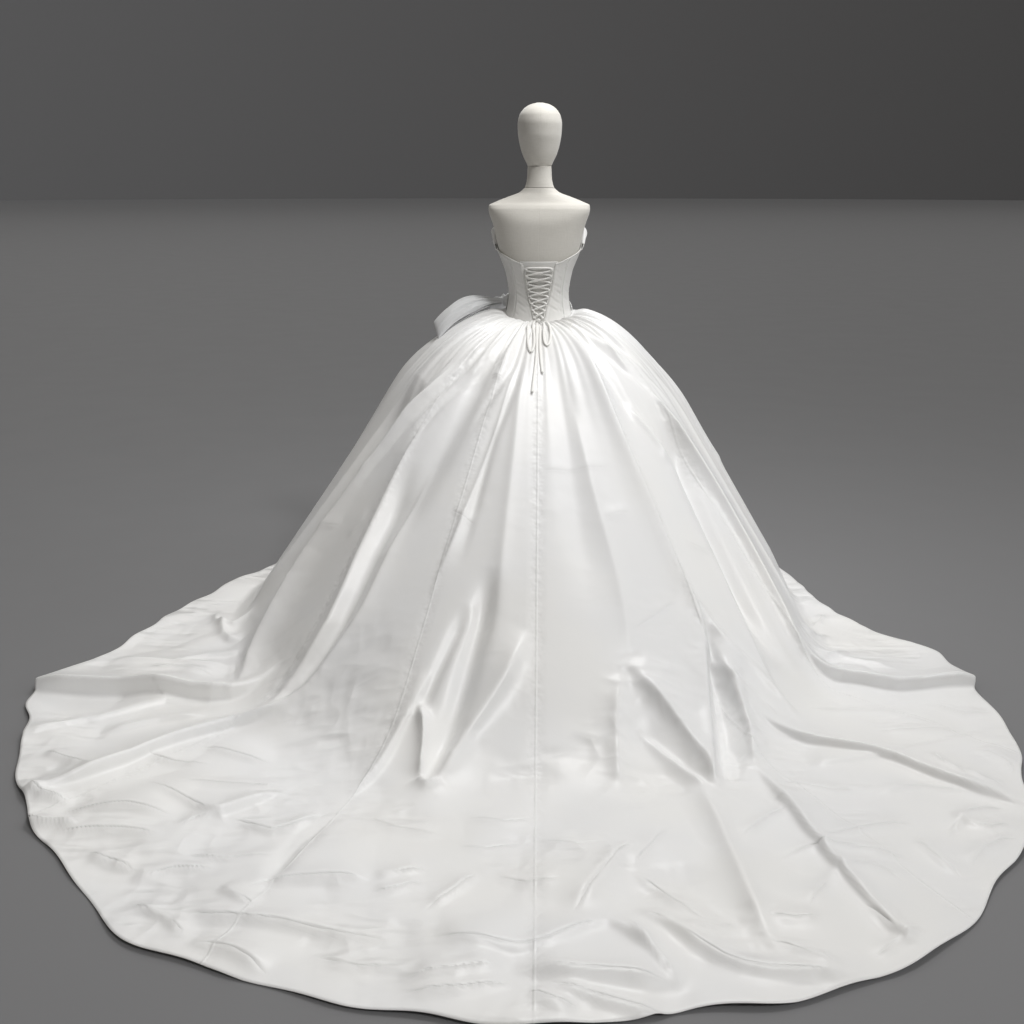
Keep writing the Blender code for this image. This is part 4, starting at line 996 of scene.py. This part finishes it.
# %% Creases and wrinkles, sharp on the side that faces back
CREASES = (
    # in millimetres: height, width of the sharp side and of the soft side, route
    # left part of the train
    (14, 15, 66, ((1060, 1500), (900, 1600), (800, 1660), (700, 1570), (620, 1530))),
    (11, 15, 55, ((910, 1740), (760, 1620), (630, 1540))),
    (10, 15, 55, ((970, 1500), (780, 1520), (620, 1540))),
    (15, 16, 55, ((770, 1670), (650, 1740), (510, 1630))),
    (17, 18, 77, ((670, 2000), (610, 1960), (490, 1940), (350, 1930))),
    (18, 16, 88, ((820, 2080), (670, 2090), (540, 2110), (400, 2140), (270, 2150))),
    (13, 15, 44, ((720, 1980), (610, 2060))),
    (15, 16, 55, ((920, 2040), (820, 2080), (730, 2160))),
    (17, 16, 66, ((740, 2170), (630, 2200), (540, 2260))),
    (17, 19, 44, ((1080, 1840), (1000, 1880), (920, 1920))),
    (14, 15, 55, ((1220, 1670), (1040, 1650), (900, 1680))),
    (13, 15, 44, ((1200, 1760), (1020, 1750), (900, 1770))),
    (28, 18, 44, ((1360, 1540), (1280, 1600), (1190, 1620))),
    (25, 18, 33, ((1300, 1700), (1220, 1730), (1120, 1710))),
    (14, 15, 33, ((1380, 1360), (1280, 1420), (1220, 1460))),
    (17, 18, 55, ((1200, 780), (1100, 700), (970, 680))),
    (13, 15, 55, ((1300, 800), (1140, 820), (1000, 880))),
    (11, 15, 55, ((960, 1300), (840, 1360), (720, 1400))),
    (10, 15, 44, ((840, 1840), (720, 1860), (600, 1840))),
    (11, 15, 55, ((940, 1960), (840, 1900), (740, 1900))),
    # middle of the train
    (18, 16, 99, ((270, 2140), (140, 2160), (40, 2170), (-30, 2150), (-100, 2100),
     (-220, 2040))),
    (15, 15, 39, ((250, 2050), (180, 1970), (130, 1890))),
    (28, 50, 88, ((-80, 2060), (-140, 1940), (-240, 1760))),
    (36, 25, 99, ((60, 2240), (-80, 2260), (-180, 2265), (-310, 2280))),
    (22, 20, 44, ((-20, 2280), (-80, 2310), (-180, 2345), (-280, 2370))),
    (14, 18, 33, ((20, 2310), (-30, 2340), (-90, 2360))),
    (14, 18, 66, ((280, 2270), (160, 2260), (40, 2220))),
    (13, 16, 44, ((270, 2320), (140, 2310), (30, 2280))),
    (17, 15, 44, ((-190, 2050), (-250, 2180), (-300, 2310))),
    (13, 15, 44, ((-150, 2060), (-200, 2110), (-250, 2180))),
    (13, 15, 55, ((380, 1930), (300, 1900), (250, 1880))),
    (11, 15, 44, ((370, 1990), (310, 1970), (250, 1930))),
    (25, 20, 77, ((-180, 1990), (-250, 2050), (-320, 2120), (-390, 2200), (-470, 2240),
     (-600, 2245), (-720, 2220))),
    (11, 15, 55, ((-310, 2090), (-380, 2110), (-440, 2070))),
    (13, 16, 44, ((-220, 1880), (-310, 2010), (-380, 2080))),
    (8, 15, 33, ((-20, 1760), (-100, 1800), (-180, 1780))),
    (8, 15, 33, ((180, 1660), (80, 1690), (-20, 1660))),
    (8, 15, 33, ((200, 1780), (120, 1800), (30, 1770))),
    # right part of the train
    (17, 15, 44, ((-500, 1750), (-570, 1670), (-650, 1590))),
    (13, 15, 44, ((-920, 1720), (-940, 1780), (-990, 1900))),
    (13, 15, 66, ((-700, 1740), (-820, 1700), (-960, 1660))),
    (14, 15, 44, ((-730, 2000), (-770, 2090), (-810, 2150))),
    (13, 15, 33, ((-700, 2190), (-760, 2140), (-840, 2080))),
    (14, 16, 44, ((-500, 2060), (-560, 2080), (-630, 2070))),
    (14, 16, 44, ((-490, 2140), (-550, 2190), (-630, 2240))),
    (15, 20, 55, ((-600, 2030), (-660, 1940), (-710, 1860))),
    (10, 15, 55, ((-860, 1540), (-1020, 1500), (-1160, 1520))),
    (13, 18, 55, ((-1040, 1620), (-1120, 1700), (-1180, 1660))),
    (14, 18, 55, ((-1020, 1860), (-1080, 1780), (-1180, 1740))),
    (10, 15, 55, ((-800, 1060), (-960, 1040), (-1120, 1060))),
    (11, 15, 55, ((-1160, 1000), (-1280, 1060), (-1380, 1040))),
    (14, 15, 33, ((-1100, 1300), (-1120, 1380), (-1160, 1440))),
    (11, 15, 26, ((-1160, 1400), (-1200, 1450), (-1240, 1500))),
    (17, 18, 40, ((-890, 560), (-970, 520), (-1030, 440))),
    (17, 16, 44, ((-900, 710), (-990, 660), (-1080, 600))),
    (14, 15, 33, ((-960, 400), (-1020, 340), (-1060, 240))),
    (15, 16, 40, ((-960, 720), (-1000, 760), (-1100, 760))),
    # finer ones between them
    (10, 15, 50, ((440, 1660), (340, 1720), (220, 1740))),
    (10, 15, 50, ((100, 1900), (20, 1950), (-70, 1930))),
    (10, 15, 60, ((-340, 1700), (-260, 1820), (-220, 1900))),
    (12, 15, 55, ((-560, 1840), (-660, 1780), (-800, 1800), (-920, 1840))),
    (11, 15, 50, ((-860, 1920), (-780, 1860), (-660, 1900))),
    (10, 15, 60, ((-640, 1460), (-780, 1520), (-920, 1500))),
    (11, 15, 50, ((-1000, 1740), (-1100, 1620), (-1220, 1580))),
    (10, 15, 50, ((-980, 1160), (-1120, 1180), (-1260, 1160))),
    (11, 15, 50, ((-1240, 1260), (-1300, 1360), (-1280, 1440))),
    (12, 15, 60, ((460, 2200), (360, 2240), (240, 2220))),
    (11, 15, 50, ((1100, 1340), (1000, 1400), (880, 1420))),
    # on the hanging part
    (2, 6, 40, ((10, 730), (-90, 725), (-240, 690))),
    (6, 10, 30, ((-260, 1120), (-340, 1060), (-430, 980))),
    (5, 10, 30, ((-200, 840), (-290, 800))),
    (7, 10, 22, ((-450, 800), (-550, 780))),
    (6, 10, 30, ((270, 800), (190, 860))),
    (5, 9, 26, ((160, 420), (110, 450))),
    (5, 10, 26, ((600, 440), (540, 500))),
    (5, 10, 26, ((720, 520), (640, 600))),
    (5, 10, 26, ((620, 680), (540, 660))),
    (5, 10, 26, ((-620, 400), (-700, 480))),
    # hidden sides and front
    (5, 12, 40, ((360, -420), (280, -520), (180, -560))),
    (5, 12, 40, ((-120, -600), (-220, -640), (-340, -600))),
    (5, 12, 40, ((580, -300), (500, -420), (440, -460))),
    (5, 12, 40, ((-460, -280), (-560, -300), (-640, -220))),
    (5, 12, 40, ((120, -780), (0, -760), (-100, -800))),
    (5, 12, 40, ((-600, 80), (-680, 0), (-700, -120))),
    (5, 12, 40, ((700, -40), (760, -140), (720, -260))),
)


def route_distance(x, y, path):
    """Distance to a route, share along it, side of it (-1 to 1) and way to its left."""
    lengths = np.hypot(*(path[1:] - path[:-1]).T)
    total, passed = lengths.sum(), 0.0
    best = np.full(x.shape, 9.0)
    along, lean = np.zeros(x.shape), np.zeros(x.shape)
    away = np.zeros(x.shape + (2,))
    for (ax, ay), (bx, by), length in zip(path, path[1:], lengths):
        ux, uy = (bx - ax) / length, (by - ay) / length
        px, py = x - ax, y - ay
        share = np.clip((px * ux + py * uy) / length, 0, 1)
        distance = np.hypot(px - share * length * ux, py - share * length * uy)
        closer = distance < best
        best = np.where(closer, distance, best)
        side = np.clip((ux * py - uy * px) / np.maximum(distance, 1e-6), -1, 1)
        lean = np.where(closer, side, lean)
        along = np.where(closer, (passed + share * length) / total, along)
        away[..., 0] = np.where(closer, -uy, away[..., 0])
        away[..., 1] = np.where(closer, ux, away[..., 1])
        passed += length
    return best, along, lean, away


def smooth_path(route, step):
    """More points on a smooth curve through a route's points."""
    points = [np.array(p, float) for p in route]
    fine = []
    for i in range(len(points) - 1):
        p0, p1, p2 = points[max(i - 1, 0)], points[i], points[i + 1]
        p3 = points[min(i + 2, len(points) - 1)]
        count = max(int(np.linalg.norm(p2 - p1) / step), 2)
        for s in np.linspace(0, 1, count, endpoint=False):
            fine.append(0.5 * (2 * p1 + (p2 - p0) * s
                               + (2 * p0 - 5 * p1 + 4 * p2 - p3) * s ** 2
                               + (3 * p1 - p0 - 3 * p2 + p3) * s ** 3))
    return np.array(fine + [points[-1]])


def in_metres(route):
    return np.array(route, float) / 1000


def all_folds():
    """Every fold in metres: height, widths, roll, path and how full its ends are."""
    for height, left, right, roll, route in FOLDS:
        path = smooth_path(in_metres(route), 0.06)
        yield height / 1000, left / 1000, right / 1000, roll / 1000, path, 1.0
    for height, sharp, soft, route in CREASES:
        path = smooth_path(in_metres(route), 0.05)
        heads_left = path[-1, 0] > path[0, 0]
        left, right = (sharp, soft) if heads_left else (soft, sharp)
        yield height / 1000, left / 1000, right / 1000, 0.0, path, 0.0


every_fold = list(all_folds())
CREST_REACH = 0.035    # how far from a crest its distance is stored
FULL_CREST = 0.012     # creases this high or more have a crest at full strength


def crease_lines(x, y):
    """Signed distance to the nearest crease's crest, and how strong it is there.

    The strength fades where two creases are equally near, or their crests would jump.
    """
    nearest, second = np.full(x.shape, 9.0), np.full(x.shape, 9.0)
    signed, strength = np.full(x.shape, CREST_REACH), np.zeros(x.shape)
    for height, _, _, _, path, _ in every_fold[len(FOLDS):]:
        near = ((np.abs(x - path[:, 0].mean()) < np.ptp(path[:, 0]) / 2 + 0.20)
                & (np.abs(y - path[:, 1].mean()) < np.ptp(path[:, 1]) / 2 + 0.20))
        if not near.any():
            continue
        gap, along, lean, _ = route_distance(x[near], y[near], path)
        closer = gap < nearest[near]
        ends = ease(along / 0.25) * ease((1 - along) / 0.25)
        power = (ends * np.clip(1 - gap / CREST_REACH, 0, 1) ** 0.5
                 * min(height / FULL_CREST, 1.0))
        side_gap = np.minimum(gap, CREST_REACH) * np.sign(lean)
        second[near] = np.where(closer, nearest[near], np.minimum(gap, second[near]))
        nearest[near] = np.where(closer, gap, nearest[near])
        signed[near] = np.where(closer, side_gap, signed[near])
        strength[near] = np.where(closer, power, strength[near])
    return signed, strength * ease((second - nearest - 0.018) / 0.040)


def fold_relief(x, y):
    """Height of all folds and creases at places in plan, and how far they roll over.

    A ridge has a crisp crest and a long foot, as stiff satin does. A trough is round.
    """
    total = np.zeros(x.shape)
    rolled = np.zeros(x.shape + (2,))
    for height, left, right, roll, path, full in every_fold:
        reach = 3.4 * max(left, right)
        near = ((x > path[:, 0].min() - reach) & (x < path[:, 0].max() + reach)
                & (y > path[:, 1].min() - reach) & (y < path[:, 1].max() + reach))
        if not near.any():
            continue
        gap, along, lean, away = route_distance(x[near], y[near], path)
        width = (left + right) / 2 + lean * (left - right) / 2
        fade = ease(along / 0.30 + 0.15 * full) * ease((1 - along) / 0.30 + 0.25 * full)
        far = gap / width
        crisp = np.exp(-1.7 * (np.sqrt(far ** 2 + 0.03) - math.sqrt(0.03)))
        shape = fade * (crisp if height > 0 else np.exp(-far ** 2))
        total[near] += height * shape
        if roll:
            steep = 1.0 if left < right else -1.0
            rolled[near] += away * (steep * roll * fade * np.exp(-far ** 2))[..., None]
    return total, rolled


# %% [markdown]
# Cloth that lies loose on a floor is never quite flat. A few long, slow waves lift the
# train here and there, and the hem most of all. They are sums of sines, faded in where
# the cloth lies down.

# %% Loose waves on the floor
WAVES = (
    # height, waves per metre towards the left and the back, start
    (0.0050, 1.9, 2.7, 0.4), (0.0042, -3.3, 1.9, 2.1), (0.0034, 4.6, 3.9, 4.0),
    (0.0026, -5.8, 5.1, 1.2), (0.0020, 8.3, -4.4, 3.3),
)
# height, waves in a whole turn, start
HEM_WAVES = ((0.0050, 21, 0.5), (0.0040, 34, 2.2), (0.0030, 55, 4.1))


def loose_waves(azimuth, radius, x, y):
    """Height of the waves where the cloth lies on the floor."""
    landing, hem = np.moveaxis(plan_at(half_turn(azimuth)), -1, 0)[:2]
    down = ease((radius - landing + 0.10) / 0.30)
    total = np.zeros(x.shape)
    for height, left, back, start in WAVES:
        total += height * np.sin(2 * np.pi * (left * x + back * y) / 2 + start)
    total = np.maximum(total + 0.002, 0) * down
    edge = ease((radius - hem + 0.16) / 0.16) * ease((hem - landing) / 0.25)
    for height, count, start in HEM_WAVES:
        total += edge * height * (0.5 + 0.5 * np.sin(np.radians(azimuth) * count + start))
    return total


def hem_wander(azimuth):
    """The hem is not a clean curve: it runs in and out by a centimetre or two."""
    angle = np.radians(azimuth)
    train = ease((100 - back_angle(azimuth)) / 30)
    return train * (0.009 * np.sin(angle * 19 + 0.8) + 0.007 * np.sin(angle * 31 + 2.0)
                    + 0.005 * np.sin(angle * 53))


# %% The whole surface
def skirt_surface(azimuth, radius):
    """Points on the skirt's outer face."""
    angle = np.radians(azimuth)
    out = np.stack([np.sin(angle), np.cos(angle)], -1)
    x, y = radius * out[..., 0], radius * out[..., 1]
    base = skirt_base(azimuth, radius)
    slope = (skirt_base(azimuth, radius + 0.004) - base) / 0.004
    lean = np.arctan(slope)
    relief, roll = fold_relief(x, y)
    relief = relief * ease((radius - 0.12) / 0.12)
    relief = relief + pleat_relief(azimuth, radius) + loose_waves(azimuth, radius, x, y)
    flat = out * (radius - np.sin(lean) * relief)[..., None] + roll
    height = np.maximum(base + np.cos(lean) * relief, 0.0) + SATIN
    return np.concatenate([flat, height[..., None]], -1)


# %% [markdown]
# ## Cutting the gores
#
# The surface is cut along nine seams. Rows are close together at the waist, where the
# pleats are, and then keep an even step along the cloth. The hem is turned under, so
# its edge looks like cloth and not like paper.

# %% Gores
GORES = (
    # name, from, to in degrees
    ("skirt_back_left", 0, 17), ("skirt_side_back_left", 17, 37),
    ("skirt_side_left", 37, 82), ("skirt_side_front_left", 82, 130),
    ("skirt_front", 130, 230), ("skirt_side_front_right", 230, 275),
    ("skirt_side_right", 275, 314), ("skirt_side_back_right", 314, 335),
    ("skirt_back_right", 335, 360),
)


HEM_THICK, HEM_TURN = 0.0018, 0.012
GORE_GAP = 0.00003    # left on each side of a seam


def row_shares(count):
    """Shares of the way from waist to hem, crowded at the waist."""
    t = np.linspace(0, 1, count)
    return 0.35 * t ** 2 + 0.65 * t


def make_gore(name, start, end):
    """One gore, with a finer grid where it lies behind."""
    behind = back_angle((start + end) / 2) < 85
    columns = int((end - start) * (4.8 if behind else 1.7))
    rows = 330 if behind else 230
    azimuth = np.linspace(start, end, columns)[None, :]
    first = waist(azimuth)[0]
    last = plan_at(half_turn(azimuth))[..., 1] + hem_wander(azimuth)
    radius = first + (last - first) * row_shares(rows)[:, None]
    azimuth = azimuth + 0 * radius
    gap = np.degrees(GORE_GAP / radius)
    azimuth[:, :1] += gap[:, :1]
    azimuth[:, -1:] -= gap[:, -1:]
    points = skirt_surface(azimuth, radius)
    under = points[-1:].copy()
    under[..., 2] = np.maximum(under[..., 2] - HEM_THICK, 0.0)
    inward = under.copy()
    inward[..., :2] *= 1 - HEM_TURN / last[..., None]
    points = np.concatenate([points, under, inward])
    edge = np.minimum(azimuth - start, end - azimuth) * np.pi / 180 * radius
    edge = np.concatenate([edge, edge[-1:], edge[-1:]])
    faces = grid_faces(rows + 2, columns)[:, ::-1]
    angle = np.radians(azimuth)
    crest, strength = crease_lines(radius * np.sin(angle), radius * np.cos(angle))
    crest, strength = (np.concatenate([v, v[-1:], v[-1:]]) for v in (crest, strength))
    mesh = build_mesh("satin_" + name, points, faces,
                      {"seam": edge, "crest": crest, "strength": strength})
    piece = new_object("satin_" + name, mesh, skirt_satin, name)


for name, start, end in GORES:
    make_gore(name, start, end)

# %% [markdown]
# ## The tie
#
# Below the last crossing the lace is tied in a bow. Two loops and two tails hang over
# the back of the skirt and lie on it. They are free cords.

# %% Ties
TIE_LIFT = 0.0062    # the ribbon's middle off the skirt
RIBBON_WIDTH, RIBBON_THICK = 0.0085, 0.0030
HANGER_WIDTH, HANGER_LIFT = 0.002, 0.004
TIES = (
    # name, what its far end is, route in plan in metres
    ("tie_loop_left", "object", (
        (0.022, 0.113), (0.032, 0.150), (0.036, 0.210), (0.036, 0.270), (0.032, 0.325),
        (0.024, 0.352), (0.015, 0.325), (0.014, 0.270), (0.017, 0.210), (0.018, 0.158),
        (0.0135, 0.122))),
    ("tie_loop_right", "object", (
        (-0.022, 0.113), (-0.032, 0.150), (-0.038, 0.200), (-0.041, 0.250), (-0.038, 0.300),
        (-0.029, 0.322), (-0.020, 0.298), (-0.018, 0.250), (-0.019, 0.200), (-0.019, 0.155),
        (-0.0135, 0.122))),
    ("tie_tail_left", "bare", (
        (0.0045, 0.122), (0.0060, 0.180), (0.0055, 0.250), (0.0050, 0.330), (0.0080, 0.400),
        (0.0140, 0.460), (0.0190, 0.510))),
    ("tie_tail_right", "bare", (
        (-0.0045, 0.122), (-0.0065, 0.180), (-0.0060, 0.250), (-0.0060, 0.330),
        (-0.0090, 0.390), (-0.0140, 0.440))),
)
HANGER = (
    (-0.070, 0.105), (-0.078, 0.130), (-0.090, 0.165), (-0.104, 0.182), (-0.114, 0.172),
    (-0.110, 0.145), (-0.098, 0.115),
)


def lay_on_skirt(route, lift):
    """Points of a route in plan, lifted on to the skirt, and which way is up there."""
    plan = smooth_path(route, 0.008)
    azimuth = np.degrees(np.arctan2(plan[:, 0], plan[:, 1]))
    radius = np.hypot(plan[:, 0], plan[:, 1])
    points = skirt_surface(azimuth, radius)
    step = skirt_surface(azimuth, radius + 0.01) - skirt_surface(azimuth, radius - 0.01)
    angle = np.radians(azimuth)
    across = np.stack([np.cos(angle), -np.sin(angle), 0 * radius], -1)
    normal = np.cross(across, unit(step))
    normal = normal * np.sign(normal[:, 2:])
    return points + normal * lift, normal


def ribbon(name, points, normal):
    """A soft ribbon: an oval section that lies flat on the cloth under it."""
    across = unit(np.cross(unit(np.gradient(points, axis=0)), normal))
    turn = full_turn(12)[None, :, None]
    return closed_mesh(name, points[:, None] + across[:, None] * np.cos(turn) * RIBBON_WIDTH / 2
                       + normal[:, None] * np.sin(turn) * RIBBON_THICK / 2)


for name, far_end, route in TIES:
    points, normal = lay_on_skirt(route, TIE_LIFT)
    mesh = ribbon("satin_" + name, points, normal)
    piece = new_object("satin_" + name, mesh, ribbon_satin, name)
points, _ = lay_on_skirt(HANGER, HANGER_LIFT)
piece = tube("satin_hanger_loop", points, HANGER_WIDTH, ribbon_satin, "hanger_loop",
             smooth=False)

share = np.linspace(0, 1, 24)[:, None]
turn = full_turn(48)[None, :]
middle = form_point(np.array(1.064), np.array(0.0), 0.011)
radius = 0.0022 + 0.0042 * np.sin(np.pi * share) ** 0.8 * (1 + 0.06 * np.cos(turn * 5))
rings = middle + np.stack([0.014 * (share - 0.5) + 0 * turn, radius * 0.8 * np.cos(turn),
                           radius * np.sin(turn)], -1)
new_object("satin_tie_knot", closed_mesh("satin_tie_knot", rings), ribbon_satin, "tie_knot")

# %% [markdown]
# ## Studio
#
# White cloth shows its folds only when one light is clearly stronger than the rest. A
# sun high behind the gown on its right gives the slopes their light and shade, and a
# square lamp above makes the top of the skirt brightest. Two wide, weak suns and a warm
# surround fill the shade. The floor and the ring of wall far round it are dark grey,
# so that the white outline stands out from every side.

# %% Floor and wall
FLOOR_PAINT = (0.20, 0.20, 0.205)
FLOOR_HALF, FLOOR_LEVEL = 90, -0.0008
WALL_AWAY, WALL_HIGH = 80.0, 30.0
floor_paint = Finish("floor_paint", FLOOR_PAINT, 0.7)
floor_paint.feed("Roughness", 0.65 + floor_paint.noise(3.0, 2.0) * 0.1)


def stage_sheet(name, points, faces):
    """A sheet of the studio, which isn't part of the object."""
    sheet = add_object(name, build_mesh(name, points, faces))
    sheet.data.materials.append(floor_paint.material)
    return sheet


corners = np.array([(-1, -1, 0), (1, -1, 0), (1, 1, 0), (-1, 1, 0)]) * FLOOR_HALF
floor = stage_sheet("floor", corners, np.array([(0, 1, 2, 3)]))
floor.location.z = FLOOR_LEVEL
turn = full_turn(96)
ring = np.stack([WALL_AWAY * np.sin(turn), WALL_AWAY * np.cos(turn), 0 * turn - 1], -1)
stage_sheet("backdrop", np.stack([ring, ring + (0, 0, WALL_HIGH + 1)]),
            grid_faces(2, 96, around=True))


# %% Lights
def add_lamp(name, kind, energy, place, aim):
    """A lamp at a place, turned towards another."""
    lamp = bpy.data.lights.new(name, kind)
    lamp.energy = energy
    item = add_object(name, lamp)
    item.location = place
    item.rotation_euler = (aim - place).to_track_quat("-Z", "Y").to_euler()
    return lamp


for name, direction, angle, strength, colour in (
        ("key", (-0.48, 0.52, 0.72), 10, 1.0, (1, 1, 1)),
        ("side", (-0.90, 0.05, 0.45), 40, 0.35, (0.90, 0.95, 1.0)),
        ("front", (0.2, -0.9, 0.6), 40, 0.40, (1, 1, 1))):
    sun = add_lamp(name, "SUN", strength, Vector(direction) * 3, Vector())
    sun.angle = math.radians(angle)
    sun.color = colour

ceiling = add_lamp("ceiling", "AREA", 50, Vector((-0.7, 0.25, 3.65)), Vector((0.0, 0.60, 0.0)))
ceiling.shape = "SQUARE"
ceiling.size = 1.3

SURROUND, SURROUND_STRENGTH = (1.0, 0.955, 0.89, 1), 0.25
world = bpy.data.worlds.new("surround")
world.use_nodes = True
background = world.node_tree.nodes["Background"].inputs
background["Color"].default_value = SURROUND
background["Strength"].default_value = SURROUND_STRENGTH
bpy.context.scene.world = world
bpy.context.scene.view_settings.view_transform = "Standard"

# %% Camera
SENSOR = 36
FOCAL_SHARE = 1.11328125    # focal length as a share of the sensor's width
CAMERA_PLACE = (0.0, 4.20, 1.56)
LOOKS_DOWN, LOOKS_ASIDE = 16.45, 1.325
lens = bpy.data.cameras.new("camera")
lens.sensor_width = SENSOR
lens.lens = SENSOR * FOCAL_SHARE
camera = add_object("camera", lens)
camera.location = CAMERA_PLACE
camera.rotation_euler = (math.radians(90 - LOOKS_DOWN), 0, math.radians(180 + LOOKS_ASIDE))
bpy.context.scene.camera = camera

# %% Sizes, and the end
state = bpy.context.evaluated_depsgraph_get()
counts = []
for item in bpy.context.scene.objects:
    if item.type in ("MESH", "CURVE") and not item.hide_render:
        mesh = item.evaluated_get(state).to_mesh()
        mesh.calc_loop_triangles()
        counts.append((len(mesh.loop_triangles), item.name))
print("triangles:", sum(count for count, _ in counts), "largest:", max(counts))
